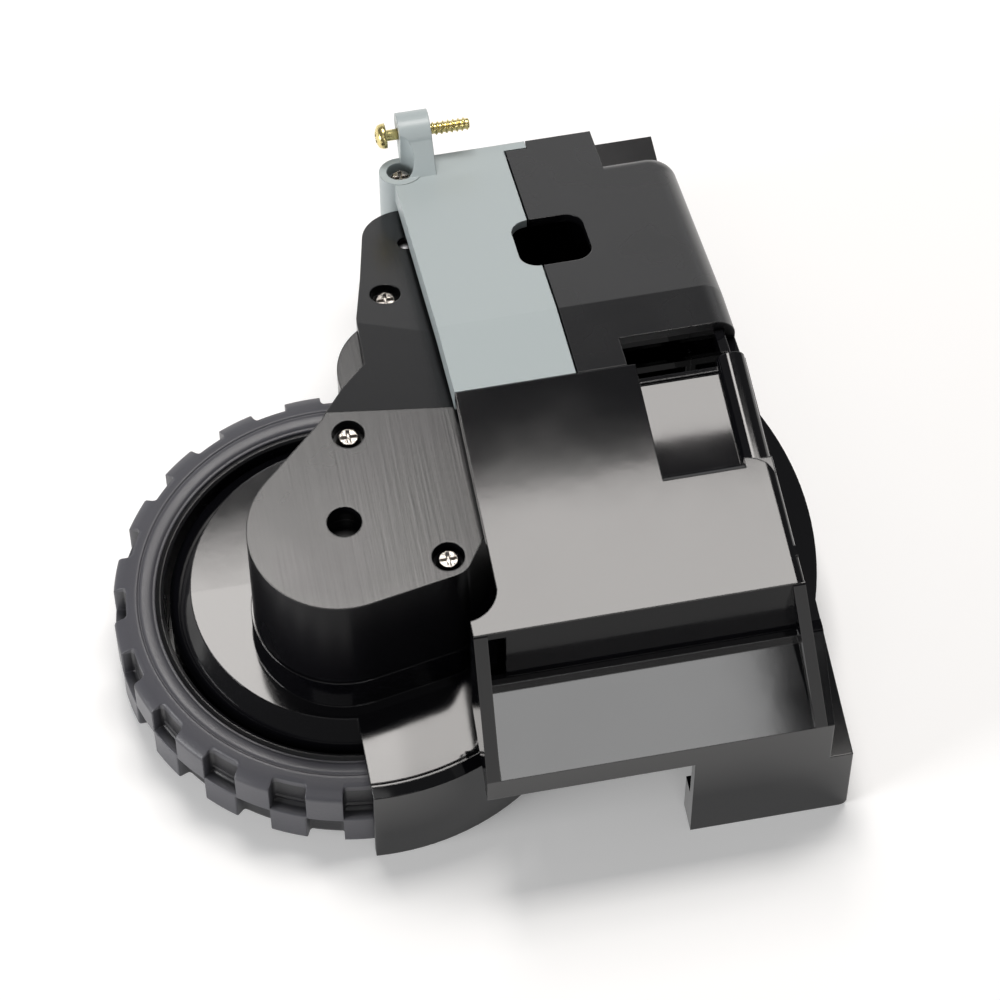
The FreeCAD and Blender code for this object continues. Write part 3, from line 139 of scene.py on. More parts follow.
@dataclass
class Term:
    """A number inside a material, built up with plain arithmetic.

    Args:
        tree: the material's nodes.
        socket: where the number comes out.
    """

    tree: bpy.types.NodeTree
    socket: bpy.types.NodeSocket

    @classmethod
    def place(
        cls, tree: bpy.types.NodeTree, coords: bpy.types.Node
    ) -> tuple["Term", "Term", "Term"]:
        """The place on the object that the light meets.

        Args:
            tree: the material's nodes.
            coords: the coordinate node.

        Returns:
            The place along X, Y and Z.
        """
        split = tree.nodes.new("ShaderNodeSeparateXYZ")
        tree.links.new(coords.outputs["Object"], split.inputs["Vector"])
        x, y, z = (cls(tree, split.outputs[axis]) for axis in "XYZ")
        return x, y, z

    def _join(self, kind: str, other: "Term | float") -> "Term":
        """Joins this number with another.

        Args:
            kind: name of the operation.
            other: the other number.

        Returns:
            The result.
        """
        node = self.tree.nodes.new("ShaderNodeMath")
        node.operation = kind
        self.tree.links.new(self.socket, node.inputs[0])
        if isinstance(other, Term):
            self.tree.links.new(other.socket, node.inputs[1])
        else:
            node.inputs[1].default_value = other
        return Term(self.tree, node.outputs["Value"])

    def __add__(self, other: "Term | float") -> "Term":
        """Adds a number.

        Args:
            other: the number to add.

        Returns:
            The sum.
        """
        return self._join("ADD", other)

    def __sub__(self, other: "Term | float") -> "Term":
        """Takes a number away.

        Args:
            other: the number to take away.

        Returns:
            The difference.
        """
        return self._join("SUBTRACT", other)

    def __mul__(self, other: "Term | float") -> "Term":
        """Multiplies with a number.

        Args:
            other: the factor.

        Returns:
            The product.
        """
        return self._join("MULTIPLY", other)

    def __truediv__(self, other: "Term | float") -> "Term":
        """Divides by a number.

        Args:
            other: the divisor.

        Returns:
            The quotient.
        """
        return self._join("DIVIDE", other)

    def __neg__(self) -> "Term":
        """Turns the sign.

        Returns:
            The number with the other sign.
        """
        return self * -1.0

    def at_least(self, limit: float) -> "Term":
        """Holds the number at or above a limit.

        Args:
            limit: the lower limit.

        Returns:
            The result.
        """
        return self._join("MAXIMUM", limit)

    def at_most(self, limit: float) -> "Term":
        """Holds the number at or below a limit.

        Args:
            limit: the upper limit.

        Returns:
            The result.
        """
        return self._join("MINIMUM", limit)

    def root(self) -> "Term":
        """Takes the square root.

        Returns:
            The root.
        """
        return self._join("POWER", 0.5)

    def above(self, limit: float) -> "Term":
        """Tells whether the number is above a limit.

        Args:
            limit: the limit.

        Returns:
            1 or 0.
        """
        return self._join("GREATER_THAN", limit)

    def below(self, limit: float) -> "Term":
        """Tells whether the number is below a limit.

        Args:
            limit: the limit.

        Returns:
            1 or 0.
        """
        return self._join("LESS_THAN", limit)

    def between(self, low: float, high: float) -> "Term":
        """Tells whether the number is between two limits.

        Args:
            low: the lower limit.
            high: the upper limit.

        Returns:
            1 or 0.
        """
        return self.above(low) * self.below(high)


@dataclass(frozen=True)
class Fall:
    """How the drum's face falls towards the front, too shallow to model.

    Args:
        start: Y from which it falls.
        ease: length over which the slope grows.
        spread: how far it also falls to both sides.
        rim: distance from the wheel axis beyond which the outer strip falls away.
        rim_fall: how steeply that strip falls.
    """

    start: float = -0.012
    ease: float = 0.012
    spread: float = 250.0
    rim: float = 0.0357
    rim_fall: float = 35.0

    def height(self, x: Term, y: Term) -> Term:
        """Height of the face at a place.

        Args:
            x: the place along X.
            y: the place along Y.

        Returns:
            The height, before the finish's depth.
        """
        ahead = (-y + self.start).at_least(0.0)
        side, back = x - WHEEL[0], y - WHEEL[1]
        rim = (side * side + back * back - self.rim * self.rim).at_least(0.0)
        face = ahead * ahead / (ahead + self.ease) + side * side * ahead * self.spread
        return -(face + rim * self.rim_fall)


@dataclass(frozen=True)
class Bow:
    """How the floor of the frame's recess is bowed, too shallow to model.

    Args:
        x: lowest and highest X of the floor.
        y: lowest and highest Y of the floor.
        middle: Y of its lowest line.
    """

    x: Pair = (0.0272, 0.0395)
    y: Pair = (-0.0247, -0.0085)
    middle: float = -0.019

    def height(self, x: Term, y: Term) -> Term:
        """Height of the floor at a place.

        Args:
            x: the place along X.
            y: the place along Y.

        Returns:
            The height, before the finish's depth.
        """
        off = y - self.middle
        return off * off * (x.between(*self.x) * y.between(*self.y))


@dataclass(frozen=True)
class PocketShade:
    """Painted shade: the rubber's colour is darker deep between the lugs than on the tread.

    Args:
        tread: distance from the wheel axis below which it darkens.
        depth: depth over which it darkens.
        foot: distance from the wheel axis within which nothing darkens.
        shoulder: Z above which nothing darkens.
        most: largest share of the painted shade colour.
        colour: the painted shade colour, linear.
    """

    tread: float = 0.0357
    depth: float = 0.0013
    foot: float = 0.0336
    shoulder: float = 0.0143
    most: float = 0.8
    colour: Triple = (0.002, 0.002, 0.003)

    def share(self, x: Term, y: Term, z: Term) -> Term:
        """Share of the painted shade colour at a place.

        Args:
            x: the place along X.
            y: the place along Y.
            z: the place along Z.

        Returns:
            The share, from 0 to 1.
        """
        side, back = x - WHEEL[0], y - WHEEL[1]
        out = (side * side + back * back).root()
        deep = (-out + self.tread).at_least(0.0) / self.depth
        return (deep * z.below(self.shoulder) * out.above(self.foot)).at_most(self.most)


@dataclass(frozen=True)
class ShadePatch:
    """A place where a low specular level paints shade, bounded along Y and Z.

    Args:
        y: its lowest and highest Y.
        z: its lowest and highest Z.
    """

    y: Pair
    z: Pair


@dataclass(frozen=True)
class Finish:
    """One procedural surface.

    Args:
        name: name of the material.
        colour: linear base colour.
        roughness: mean roughness.
        metallic: 1 for bare metal.
        specular: specular level.
        texture: fine structure of the surface.
        bump: strength of that structure.
        scale: fineness of that structure, in repeats per metre.
        mottle: how far the roughness wanders to both sides.
        edge: radius by which light softens the edges.
        form: shallow form that the light sees in a flat face.
        depth: how strongly it sees that form.
        shaded_patch: the place where a low specular level paints shade.
        pocket_shade: painted shade, the colour darkening between lugs.
    """

    name: str
    colour: Triple
    roughness: float
    metallic: float = 0.0
    specular: float = 0.5
    texture: Texture = Texture.SMOOTH
    bump: float = 0.0
    scale: float = 900.0
    mottle: float = 0.03
    edge: float = 0.00025
    form: Fall | Bow | None = None
    depth: float = 0.0
    shaded_patch: ShadePatch | None = None
    pocket_shade: PocketShade | None = None

    def build(self) -> bpy.types.Material:
        """Makes the Blender material.

        Returns:
            The new material.
        """
        mat = bpy.data.materials.new(self.name)
        mat.use_nodes = True
        tree = mat.node_tree
        coords = tree.nodes.new("ShaderNodeTexCoord")
        shader = tree.nodes["Principled BSDF"]
        shader.inputs["Base Color"].default_value = (*self.colour, 1.0)
        shader.inputs["Metallic"].default_value = self.metallic
        shader.inputs["Specular IOR Level"].default_value = self.specular
        tree.links.new(self._roughness(tree, coords), shader.inputs["Roughness"])
        # Painted shade: the tyre's base colour darkens deep between its lugs.
        if self.pocket_shade is not None:
            tree.links.new(self._pocket_shaded_colour(tree, coords), shader.inputs["Base Color"])
        # Painted shade: the specular level drops in the frame's hollow and on the arm's side.
        if self.shaded_patch is not None:
            tree.links.new(self._shaded_gleam(tree, coords), shader.inputs["Specular IOR Level"])
        tree.links.new(self._normal(tree, coords), shader.inputs["Normal"])
        return mat

    def _roughness(
        self, tree: bpy.types.NodeTree, coords: bpy.types.Node
    ) -> bpy.types.NodeSocket:
        """Roughness that wanders a little over the surface.

        Args:
            tree: the material's nodes.
            coords: the coordinate node.

        Returns:
            Where the roughness comes out.
        """
        wander = self._noise(tree, coords.outputs["Object"], WANDER_SCALE, WANDER_DETAIL)
        spread = tree.nodes.new("ShaderNodeMapRange")
        spread.inputs["From Min"].default_value = WANDER_RANGE[0]
        spread.inputs["From Max"].default_value = WANDER_RANGE[1]
        spread.inputs["To Min"].default_value = max(LEAST_ROUGHNESS, self.roughness - self.mottle)
        spread.inputs["To Max"].default_value = self.roughness + self.mottle
        tree.links.new(wander, spread.inputs["Value"])
        return spread.outputs["Result"]

    def _pocket_shaded_colour(
        self, tree: bpy.types.NodeTree, coords: bpy.types.Node
    ) -> bpy.types.NodeSocket:
        """Base colour with painted shade, darker deep between the lugs.

        Args:
            tree: the material's nodes.
            coords: the coordinate node.

        Returns:
            Where the colour comes out.
        """
        share = self.pocket_shade.share(*Term.place(tree, coords))
        mix = tree.nodes.new("ShaderNodeMix")
        mix.data_type = "RGBA"
        tree.links.new(share.socket, mix.inputs["Factor"])
        mix.inputs["A"].default_value = (*self.colour, 1.0)
        mix.inputs["B"].default_value = (*self.pocket_shade.colour, 1.0)
        return mix.outputs["Result"]

    def _shaded_gleam(self, tree: bpy.types.NodeTree, coords: bpy.types.Node) -> bpy.types.NodeSocket:
        """Specular level that is low where shade is painted.

        Args:
            tree: the material's nodes.
            coords: the coordinate node.

        Returns:
            Where the specular level comes out.
        """
        _, y, z = Term.place(tree, coords)
        inside = y.between(*self.shaded_patch.y) * z.between(*self.shaded_patch.z)
        return (inside * (-SHADE_GLEAM_LOST * self.specular) + self.specular).socket

    def _normal(self, tree: bpy.types.NodeTree, coords: bpy.types.Node) -> bpy.types.NodeSocket:
        """Normal with soft edges, the shallow form and the fine structure.

        Args:
            tree: the material's nodes.
            coords: the coordinate node.

        Returns:
            Where the normal comes out.
        """
        edges = tree.nodes.new("ShaderNodeBevel")
        edges.samples = EDGE_SAMPLES
        edges.inputs["Radius"].default_value = self.edge
        normal = edges.outputs["Normal"]
        if self.form is not None:
            x, y, _ = Term.place(tree, coords)
            normal = self._raised(tree, normal, self.form.height(x, y).socket, 1.0, self.depth)
        if self.texture is not Texture.SMOOTH:
            grain = self._structure(tree, coords)
            normal = self._raised(tree, normal, grain, self.bump, STRUCTURE_HEIGHT)
        return normal

    @staticmethod
    def _raised(
        tree: bpy.types.NodeTree,
        normal: bpy.types.NodeSocket,
        height: bpy.types.NodeSocket,
        strength: float,
        distance: float,
    ) -> bpy.types.NodeSocket:
        """Normal of a surface that light sees as raised.

        Args:
            tree: the material's nodes.
            normal: the normal of the surface below.
            height: how far it is raised.
            strength: share of the effect.
            distance: length of a height of 1.

        Returns:
            Where the new normal comes out.
        """
        bump = tree.nodes.new("ShaderNodeBump")
        bump.inputs["Strength"].default_value = strength
        bump.inputs["Distance"].default_value = distance
        tree.links.new(height, bump.inputs["Height"])
        tree.links.new(normal, bump.inputs["Normal"])
        return bump.outputs["Normal"]

    def _structure(
        self, tree: bpy.types.NodeTree, coords: bpy.types.Node
    ) -> bpy.types.NodeSocket:
        """Height of the fine structure.

        Args:
            tree: the material's nodes.
            coords: the coordinate node.

        Returns:
            Where the height comes out.
        """
        if self.texture not in STRETCH:
            return self._noise(tree, coords.outputs["Object"], self.scale, GRAIN_DETAIL)
        mapping = tree.nodes.new("ShaderNodeMapping")
        mapping.inputs["Scale"].default_value = STRETCH[self.texture]
        tree.links.new(coords.outputs["Object"], mapping.inputs["Vector"])
        return self._noise(tree, mapping.outputs["Vector"], self.scale, STRETCH_DETAIL)

    @staticmethod
    def _noise(
        tree: bpy.types.NodeTree, place: bpy.types.NodeSocket, scale: float, detail: float
    ) -> bpy.types.NodeSocket:
        """Noise over the object.

        Args:
            tree: the material's nodes.
            place: the place on the object.
            scale: repeats per metre.
            detail: octaves.

        Returns:
            Where the noise comes out.
        """
        noise = tree.nodes.new("ShaderNodeTexNoise")
        noise.inputs["Scale"].default_value = scale
        noise.inputs["Detail"].default_value = detail
        tree.links.new(place, noise.inputs["Vector"])
        return noise.outputs["Fac"]


# Painted shade: in these places the specular level drops, so the frame's hollow and the arm's side
# look dark.
HOLLOW_SHADE = ShadePatch(y=(-0.0464, -0.0395), z=(0.0345, 0.0510))
ARM_SIDE_SHADE = ShadePatch(y=(-0.0600, -0.0085), z=(0.0180, 0.0463))

FINISHES = {
    finish.name: finish
    for finish in (
        # The rubber's colour carries painted shade deep between the lugs.
        Finish("tyre_rubber", (0.070, 0.070, 0.081), 0.40, texture=Texture.GRAIN, bump=0.25,
               scale=2600.0, mottle=0.06, pocket_shade=PocketShade()),
        Finish("black_satin", (0.004, 0.004, 0.005), 0.27, specular=0.54, texture=Texture.GRAIN,
               bump=0.05, scale=3500.0),
        Finish("black_gloss", (0.003, 0.003, 0.004), 0.065, texture=Texture.GRAIN, bump=0.02,
               scale=300.0, mottle=0.02, form=Bow(), depth=2.9, shaded_patch=HOLLOW_SHADE),
        Finish("drum_gloss", (0.003, 0.003, 0.004), 0.08, texture=Texture.GRAIN, bump=0.02,
               scale=500.0, form=Fall(), depth=0.15),
        Finish("arm_satin", (0.004, 0.004, 0.005), 0.25, specular=0.52,
               texture=Texture.STREAKED, bump=0.12, scale=2200.0, shaded_patch=ARM_SIDE_SHADE),
        Finish("grey_plastic", (0.41, 0.462, 0.47), 0.36, texture=Texture.GRAIN, bump=0.05,
               scale=3000.0),
        Finish("screw_steel", (0.30, 0.28, 0.26), 0.24, metallic=1.0, texture=Texture.GRAIN,
               bump=1.0, scale=700.0),
        Finish("machined_steel", (0.60, 0.61, 0.63), 0.28, metallic=1.0,
               texture=Texture.BRUSHED, bump=0.1),
        Finish("motor_steel", (0.52, 0.53, 0.54), 0.35, metallic=1.0),
        Finish("spring_steel", (0.38, 0.39, 0.41), 0.35, metallic=1.0),
        Finish("acetal_gear", (0.78, 0.76, 0.70), 0.40),
        Finish("sintered_bronze", (0.45, 0.31, 0.16), 0.45, metallic=1.0),
        Finish("brass", (0.72, 0.54, 0.24), 0.28, metallic=1.0),
        Finish("yellow_zinc", (0.78, 0.66, 0.30), 0.25, metallic=1.0),
    )
}
FLOOR_WHITE = Finish("floor_white", (0.93, 0.93, 0.93), 0.6, specular=0.2)


def quads(here: np.ndarray, there: np.ndarray) -> list[list[int]]:
    """Faces between neighbouring rings of points.

    Args:
        here: indices of the points of each ring, of shape (rings, columns).
        there: indices of the points of the ring after each of them.

    Returns:
        The four indices of each face.
    """
    corners = [here, np.roll(here, -1, axis=1), np.roll(there, -1, axis=1), there]
    return np.stack(corners, axis=-1).reshape(-1, 4).tolist()


def smooth_object(
    name: str, points: np.ndarray, faces: list[list[int]], material: bpy.types.Material
) -> bpy.types.Object:
    """A smooth shaded object from points and faces.

    Args:
        name: name of the object.
        points: array of points, the last axis of length 3.
        faces: indices of each face's points.
        material: its material.

    Returns:
        The new object.
    """
    mesh = bpy.data.meshes.new(name)
    mesh.from_pydata(points.reshape(-1, 3).tolist(), [], faces)
    mesh.polygons.foreach_set("use_smooth", [True] * len(mesh.polygons))
    mesh.materials.append(material)
    obj = bpy.data.objects.new(name, mesh)
    bpy.context.scene.collection.objects.link(obj)
    return obj


def grid_mesh(name: str, points: np.ndarray, material: bpy.types.Material) -> bpy.types.Object:
    """A closed surface from a grid of points that wraps round in both directions.

    Args:
        name: name of the object.
        points: array of shape (rows, columns, 3).
        material: its material.

    Returns:
        The new object.
    """
    rows, columns, _ = points.shape
    index = np.arange(rows * columns).reshape(rows, columns)
    return smooth_object(name, points, quads(index, np.roll(index, -1, axis=0)), material)


def turned_mesh(name: str, points: np.ndarray, material: bpy.types.Material) -> bpy.types.Object:
    """A closed surface from a grid that wraps round in its columns, with a cap at both ends.

    Args:
        name: name of the object.
        points: array of shape (rows, columns, 3).
        material: its material.

    Returns:
        The new object.
    """
    rows, columns, _ = points.shape
    index = np.arange(rows * columns).reshape(rows, columns)
    caps = [index[0][::-1].tolist(), index[-1].tolist()]
    return smooth_object(name, points, quads(index[:-1], index[1:]) + caps, material)


@dataclass
class CaptiveScrew:
    """Pan head screw with a real thread, in millimetres along X.

    Args:
        axis: Y and Z of its axis.
        head_x: where the top of the head stands.
        head_r: radius of the head.
        head_h: height of the head.
        rim_h: height of the head's rim.
        dome_power: how flat the top of the head is.
        neck_r: radius of the plain part under the head.
        neck_end: length from the neck's end to the start of the thread.
        thread_x: where the thread starts.
        end_x: where the screw ends.
        end_r: radii at the end face.
        chamfer: length of the chamfer at the end.
        root_r: radius of the thread's root.
        crest_r: radius of the thread's crest.
        pitch: length of one turn of the thread.
        flank: half the width of the thread's ridge, as a share of the pitch.
        lead: how far the thread's surface reaches beyond its start.
        tip: length without a thread at the end.
        fade: length over which the thread grows.
        recess: depth of the cross recess.
        slot_half: half the width of its slots.
        slot_side: width of the slope at their sides.
        slot_reach: length of its slots from the axis.
        slot_end: width of the slope at their ends.
        rows: number of rings along the thread.
        columns: number of points round the axis.
    """

    axis: Pair = (53.3, 37.0)
    head_x: float = -1.55
    head_r: float = 2.0
    head_h: float = 1.7
    rim_h: float = 0.95
    dome_power: float = 2.6
    neck_r: float = 0.88
    neck_end: float = 0.25
    thread_x: float = 7.45
    end_x: float = 13.45
    end_r: Pair = (0.55, 0.6)
    chamfer: float = 0.12
    root_r: float = 0.82
    crest_r: float = 1.1
    pitch: float = 0.82
    flank: float = 0.30
    lead: float = 0.1
    tip: float = 0.15
    fade: float = 0.3
    recess: float = 0.9
    slot_half: float = 0.30
    slot_side: float = 0.10
    slot_reach: float = 1.05
    slot_end: float = 0.25
    rows: int = 104
    columns: int = 96

    def _thread(self, x: np.ndarray, turn: np.ndarray) -> np.ndarray:
        """Radius of the thread.

        Args:
            x: places along the axis.
            turn: angles, in turns.

        Returns:
            Radii for each place and angle.
        """
        phase = (x[:, None] / self.pitch + turn[None, :]) % 1.0
        ridge = np.clip(1.0 - np.abs(phase - 0.5) / self.flank, 0.0, 1.0)
        inward = np.minimum(x - self.thread_x + self.lead, self.end_x - self.tip - x)
        grown = np.clip(inward / self.fade, 0.0, 1.0)
        return self.root_r + (self.crest_r - self.root_r) * ridge * grown[:, None]

    def _head(self, turn: np.ndarray) -> tuple[np.ndarray, np.ndarray]:
        """Places and radii of the head, with a cross recess.

        Args:
            turn: angles, in turns.

        Returns:
            Two arrays of shape (rows, columns).
        """
        rim_r, rim_z = np.array(HEAD_RIM).T
        r = np.concatenate([rim_r, HEAD_DOME]) * self.head_r
        dome = self.head_x + (self.head_h - self.rim_h) * HEAD_DOME ** self.dome_power
        x = np.concatenate([self.head_x + self.head_h - rim_z, dome])
        u = np.abs(r[:, None] * np.cos(2 * np.pi * turn)[None, :])
        v = np.abs(r[:, None] * np.sin(2 * np.pi * turn)[None, :])
        across = np.clip((self.slot_half - np.minimum(u, v)) / self.slot_side, 0, 1)
        along = np.clip((self.slot_reach - np.maximum(u, v)) / self.slot_end, 0, 1)
        return x[:, None] + self.recess * across * along, np.broadcast_to(r[:, None], u.shape)

    def _neck(self) -> np.ndarray:
        """Section from the thread to the underside of the head.

        Returns:
            Array of shape (points, 2): places along the axis and radii.
        """
        under = self.head_x + self.head_h
        fillet = [(under + up, self.neck_r + out) for up, out in NECK_FILLET]
        face = [(under, self.head_r - inset) for inset in UNDERSIDE]
        return np.array([(self.thread_x - self.neck_end, self.neck_r)] + fillet + face)

    def build(self, material: bpy.types.Material) -> bpy.types.Object:
        """Builds the screw in place of the plain one.

        Args:
            material: the plated steel.

        Returns:
            The new object.
        """
        turn = np.arange(self.columns) / self.columns
        thread_x = np.linspace(self.end_x - self.chamfer, self.thread_x - self.lead, self.rows)
        end = np.array([(self.end_x, radius) for radius in self.end_r])
        neck = self._neck()
        head_x, head_r = self._head(turn)
        spread = np.ones((1, self.columns))
        x = np.concatenate([
            end[:, :1] * spread, thread_x[:, None] * spread, neck[:, :1] * spread, head_x
        ])
        r = np.concatenate([
            end[:, 1:] * spread, self._thread(thread_x, turn), neck[:, 1:] * spread, head_r
        ])
        angle = 2 * np.pi * turn[None, :] * spread
        y, z = self.axis[0] + r * np.cos(angle), self.axis[1] + r * np.sin(angle)
        points = np.stack([x, y, z], axis=-1) / MM_PER_METRE
        obj = turned_mesh("captive_screw_skin", points, material)
        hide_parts("captive_screw")
        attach(obj, "captive_screw")
        return obj


@dataclass
class Tyre:
    """Rubber tyre with two staggered rows of lugs, in millimetres round the wheel axis.

    Args:
        centre: the wheel axis, in metres.
        lug_r: radius over the lugs.
        root_r: radius of the pockets' floor.
        lugs: number of lugs in a row.
        turn: how far the lugs are turned, in degrees.
        split: height of the middle between the two rows.
        band: half the height of the strip between the rows.
        fillet: radius at the foot of a pocket's walls.
        edge: radius of the lugs' edges.
        rib_z: height of the thin rib through the upper pockets.
        rib_half: half the height of that rib.
        rib: how far that rib stands out.
        skin: depth below the pockets' floor down to which the section is cut.
    """

    centre: Pair = WHEEL
    lug_r: float = 36.0
    root_r: float = 34.0
    lugs: int = 20
    turn: float = 6.7
    split: float = 8.5
    band: float = 0.35
    fillet: float = 0.75
    edge: float = 0.28
    rib_z: float = 10.2
    rib_half: float = 0.2
    rib: float = 0.4
    skin: float = 0.5

    def _steps(self) -> list[float]:
        """Distances from a pocket's wall at which the tyre is cut, dense at edge and fillet.

        Returns:
            Distances in millimetres, negative on the lug.
        """
        edge = [-self.edge * share for share in EDGE_CUTS]
        return edge + list(WALL_CUTS) + [self.fillet * share for share in FILLET_CUTS]

    def _profile(self) -> np.ndarray:
        """Section of the tyre, once round from the inner lower corner.

        Returns:
            Array of shape (points, 2): radii and heights.
        """
        steps = self._steps()
        lower = [self.split - self.band - step for step in reversed(steps)]
        upper = [self.split + self.band + step for step in steps]
        heights = TREAD_BELOW + lower + upper + TREAD_RIB + TREAD_ABOVE
        return np.array(TYRE_BELOW + [(self.lug_r, height) for height in heights] + TYRE_ABOVE)

    def _angles(self) -> np.ndarray:
        """Angles at which the tyre is cut, dense at the lugs' sides.

        Returns:
            Angles in degrees.
        """
        half = 180.0 / self.lugs
        to_deg = math.degrees(1.0 / self.root_r)
        near = sorted({round(sign * d * to_deg, 5) for d in self._steps() for sign in (-1, 1)})
        cuts = near + [half * share for share in PLAIN_CUTS]
        return np.array([k * half + cut + self.turn for k in range(2 * self.lugs) for cut in cuts])

    def _reach(self, depth: np.ndarray) -> np.ndarray:
        """Largest radius at a point that lies this deep inside a pocket.

        Args:
            depth: distance in from the pocket's wall, negative outside it.

        Returns:
            Radii in millimetres.
        """
        f, e = self.fillet, self.edge
        outside = self.lug_r - e + np.sqrt(np.clip(e * e - np.clip(e + depth, 0, e) ** 2, 0, None))
        drop = np.sqrt(np.clip(f * f - (f - np.clip(depth, 0, f)) ** 2, 0, None))
        return np.where(depth <= 0, outside, self.root_r + f - drop)

    def build(self, material: bpy.types.Material) -> bpy.types.Object:
        """Builds the tyre in place of the plain one.

        Args:
            material: the rubber.

        Returns:
            The new object.
        """
        profile = self._profile()
        angles = self._angles()
        half = 180.0 / self.lugs
        phase = (angles - self.turn) % (2 * half)
        along = np.radians(np.minimum(phase, half - phase)) * self.root_r
        other = np.radians(np.minimum(phase - half, 2 * half - phase)) * self.root_r
        radius, height = profile[:, 0][:, None], profile[:, 1][:, None]
        upper = np.minimum(along[None, :], height - self.split - self.band)
        lower = np.minimum(other[None, :], self.split - self.band - height)
        limit = np.minimum(self._reach(upper), self._reach(lower))
        rib = np.clip(1.0 - np.abs(height - self.rib_z) / self.rib_half, 0, 1) * self.rib
        limit = np.maximum(limit, self.root_r + rib)
        cut = np.where(radius > self.root_r - self.skin, np.minimum(radius, limit), radius)
        r = cut / MM_PER_METRE
        t = np.radians(angles)[None, :]
        x = self.centre[0] + r * np.cos(t)
        y = self.centre[1] + r * np.sin(t)
        z = np.broadcast_to(height / MM_PER_METRE, r.shape)
        obj = grid_mesh("tyre_skin", np.stack([x, y, z], axis=-1)[::-1], material)
        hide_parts("tyre")
        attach(obj, "wheel")
        return obj


@dataclass(frozen=True)
class Lamp:
    """One soft box.

    Args:
        name: name of the lamp.
        place: its middle.
        target: the point that it faces.
        size: its width and height.
        watts: its power.
        tint: its colour.
    """

    name: str
    place: Triple
    target: Triple
    size: Pair
    watts: float
    tint: Triple = WHITE

    def build(self) -> None:
        """Adds the lamp to the scene."""
        data = bpy.data.lights.new(self.name, "AREA")
        data.shape = "RECTANGLE"
        data.size, data.size_y = self.size
        data.energy = self.watts
        data.color = self.tint
        lamp = bpy.data.objects.new(self.name, data)
        lamp.location = self.place
        facing = Vector(self.target) - Vector(self.place)
        lamp.rotation_euler = facing.to_track_quat("-Z", "Y").to_euler()
        bpy.context.scene.collection.objects.link(lamp)


LAMPS = (
    Lamp("key_left", (-0.045, 0.2845, 0.80), (-0.045, 0.2845, 0.0), (0.19, 0.369), 2.95, WARM),
    Lamp("key_right", (0.205, 0.2175, 0.80), (0.205, 0.2175, 0.0), (0.31, 0.235), 2.4, WARM),
    Lamp("strip", (0.025, 0.545, 0.80), (0.025, 0.545, 0.0), (0.10, 0.05), 0.13),
    Lamp("far_wall", (0.0, 1.6, 0.35), (0.0, 0.0, 0.1), (3.0, 0.6), 4.5),
    Lamp("window", (0.10, -1.05, 0.50), (0.02, -0.05, 0.03), (0.22, 0.20), 0.84),
    Lamp("left_fill", (-0.9, -0.25, 0.30), (-0.05, 0.0, 0.02), (0.4, 0.3), 5.0),
    Lamp("front_fill", (-0.25, -0.75, 1.0), (0.0, -0.15, 0.0), (0.5, 0.5), 0.8),
)


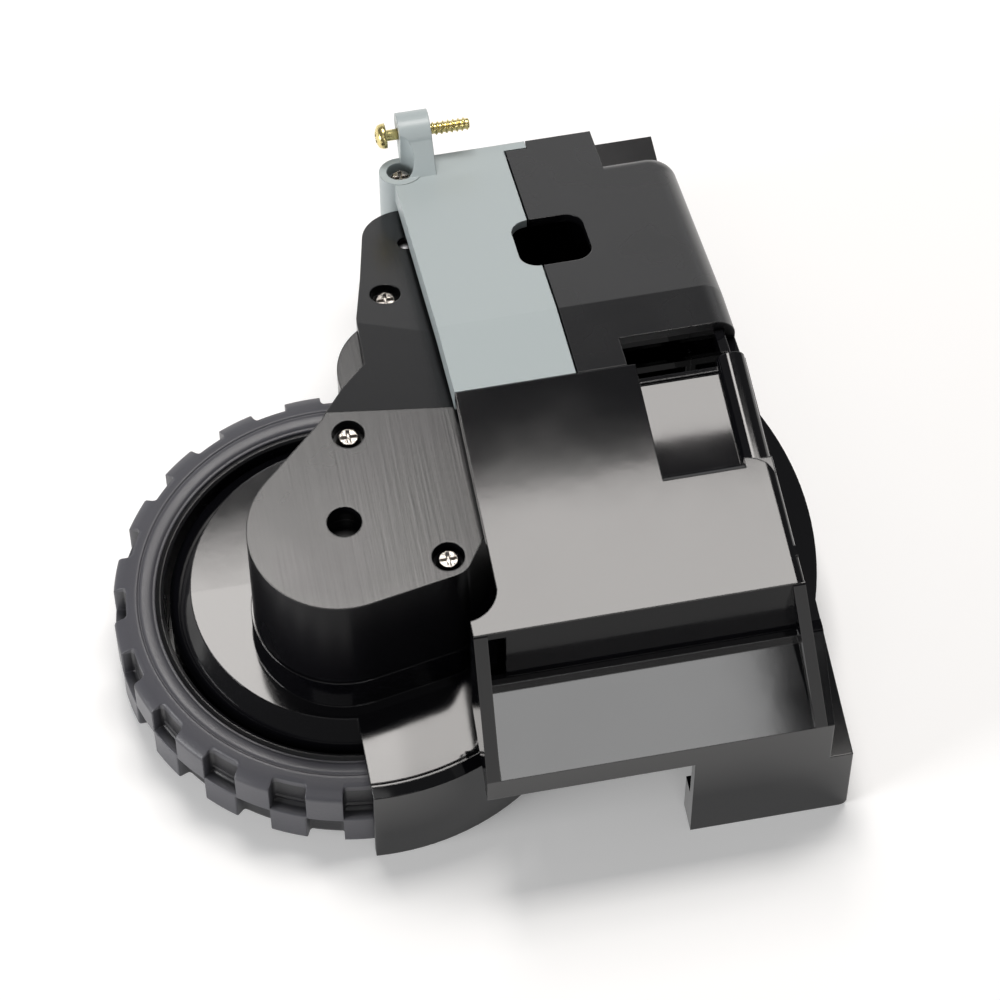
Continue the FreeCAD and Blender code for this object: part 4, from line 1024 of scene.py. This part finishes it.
@dataclass
class Studio:
    """Camera, floor and soft light of the product picture.

    Args:
        eye: where the camera stands.
        ahead: the way it looks.
        lens: its focal length, in millimetres.
        sensor: the width of its sensor, in millimetres.
        near: the nearest distance that it sees.
        reach: how far the floor reaches from the middle.
        glow: white of the floor that only the camera and reflections see, where 1 is white.
        sky: strength of the surroundings.
    """

    eye: Triple = (-0.05766, -0.345144, 0.58063)
    ahead: Triple = (0.0984, 0.5155, -0.8512)
    lens: float = 154.8
    sensor: float = 36.0
    near: float = 0.01
    reach: float = 3.0
    glow: float = 0.16
    sky: float = 0.14

    def build(self) -> None:
        """Sets up camera, floor, world and lamps."""
        self._camera()
        self._floor()
        self._world()
        for lamp in LAMPS:
            lamp.build()

    def _camera(self) -> None:
        """Puts the camera where the photograph was taken from."""
        data = bpy.data.cameras.new("camera")
        data.sensor_width = self.sensor
        data.lens = self.lens
        data.clip_start = self.near
        camera = bpy.data.objects.new("camera", data)
        camera.location = self.eye
        camera.rotation_euler = Vector(self.ahead).to_track_quat("-Z", "Y").to_euler()
        bpy.context.scene.collection.objects.link(camera)
        bpy.context.scene.camera = camera

    def _floor(self) -> None:
        """Adds the plain pale floor."""
        corners = [(-1, -1), (1, -1), (1, 1), (-1, 1)]
        points = [(x * self.reach, y * self.reach, 0.0) for x, y in corners]
        mesh = bpy.data.meshes.new("floor")
        mesh.from_pydata(points, [], [(0, 1, 2, 3)])
        table = bpy.data.objects.new("floor", mesh)
        bpy.context.scene.collection.objects.link(table)
        white = FLOOR_WHITE.build()
        self._add_glow(white.node_tree)
        mesh.materials.append(white)

    def _add_glow(self, tree: bpy.types.NodeTree) -> None:
        """Adds a little white that only the camera and reflections see.

        Args:
            tree: the floor's nodes.
        """
        path = tree.nodes.new("ShaderNodeLightPath")
        camera = Term(tree, path.outputs["Is Camera Ray"])
        seen = (camera + Term(tree, path.outputs["Is Glossy Ray"])).at_most(1.0)
        shader = tree.nodes["Principled BSDF"]
        shader.inputs["Emission Color"].default_value = (*WHITE, 1.0)
        tree.links.new((seen * self.glow).socket, shader.inputs["Emission Strength"])

    def _world(self) -> None:
        """Adds even pale surroundings."""
        world = bpy.data.worlds.new("studio")
        bpy.context.scene.world = world
        world.use_nodes = True
        background = world.node_tree.nodes["Background"]
        background.inputs["Color"].default_value = (*WHITE, 1.0)
        background.inputs["Strength"].default_value = self.sky


@dataclass
class Dresser:
    """Gives each CAD node the finish of its material slot.

    Args:
        finishes: the finish of each slot.
        made: the materials built so far, by name of the finish.
    """

    frame: dict
    finishes: dict[str, Finish]
    made: dict[str, bpy.types.Material] = field(default_factory=dict)

    def material(self, name: str) -> bpy.types.Material:
        """The material of a finish, built once.

        Args:
            name: name of the finish.

        Returns:
            The material.
        """
        if name not in self.made:
            self.made[name] = self.finishes[name].build()
        return self.made[name]

    def dress(self) -> None:
        """Paints all the CAD nodes."""
        for part in self.frame["record"]["subparts"]:
            node = part["node"]
            materials = self.frame["nodes"][node].data.materials
            materials.clear()
            materials.append(self.material(OWN_FINISH.get(node, part["material_slot"])))
            LOG.info("dressed %s", node)


def main() -> None:
    """Builds the picture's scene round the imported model."""
    logging.basicConfig(level=logging.INFO)
    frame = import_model()
    dresser = Dresser(frame, FINISHES)
    dresser.dress()
    Tyre().build(dresser.material("tyre_rubber"))
    CaptiveScrew().build(dresser.material("yellow_zinc"))
    Studio().build()
    bpy.context.scene.view_settings.view_transform = "Standard"


if __name__ == "__main__":
    main()
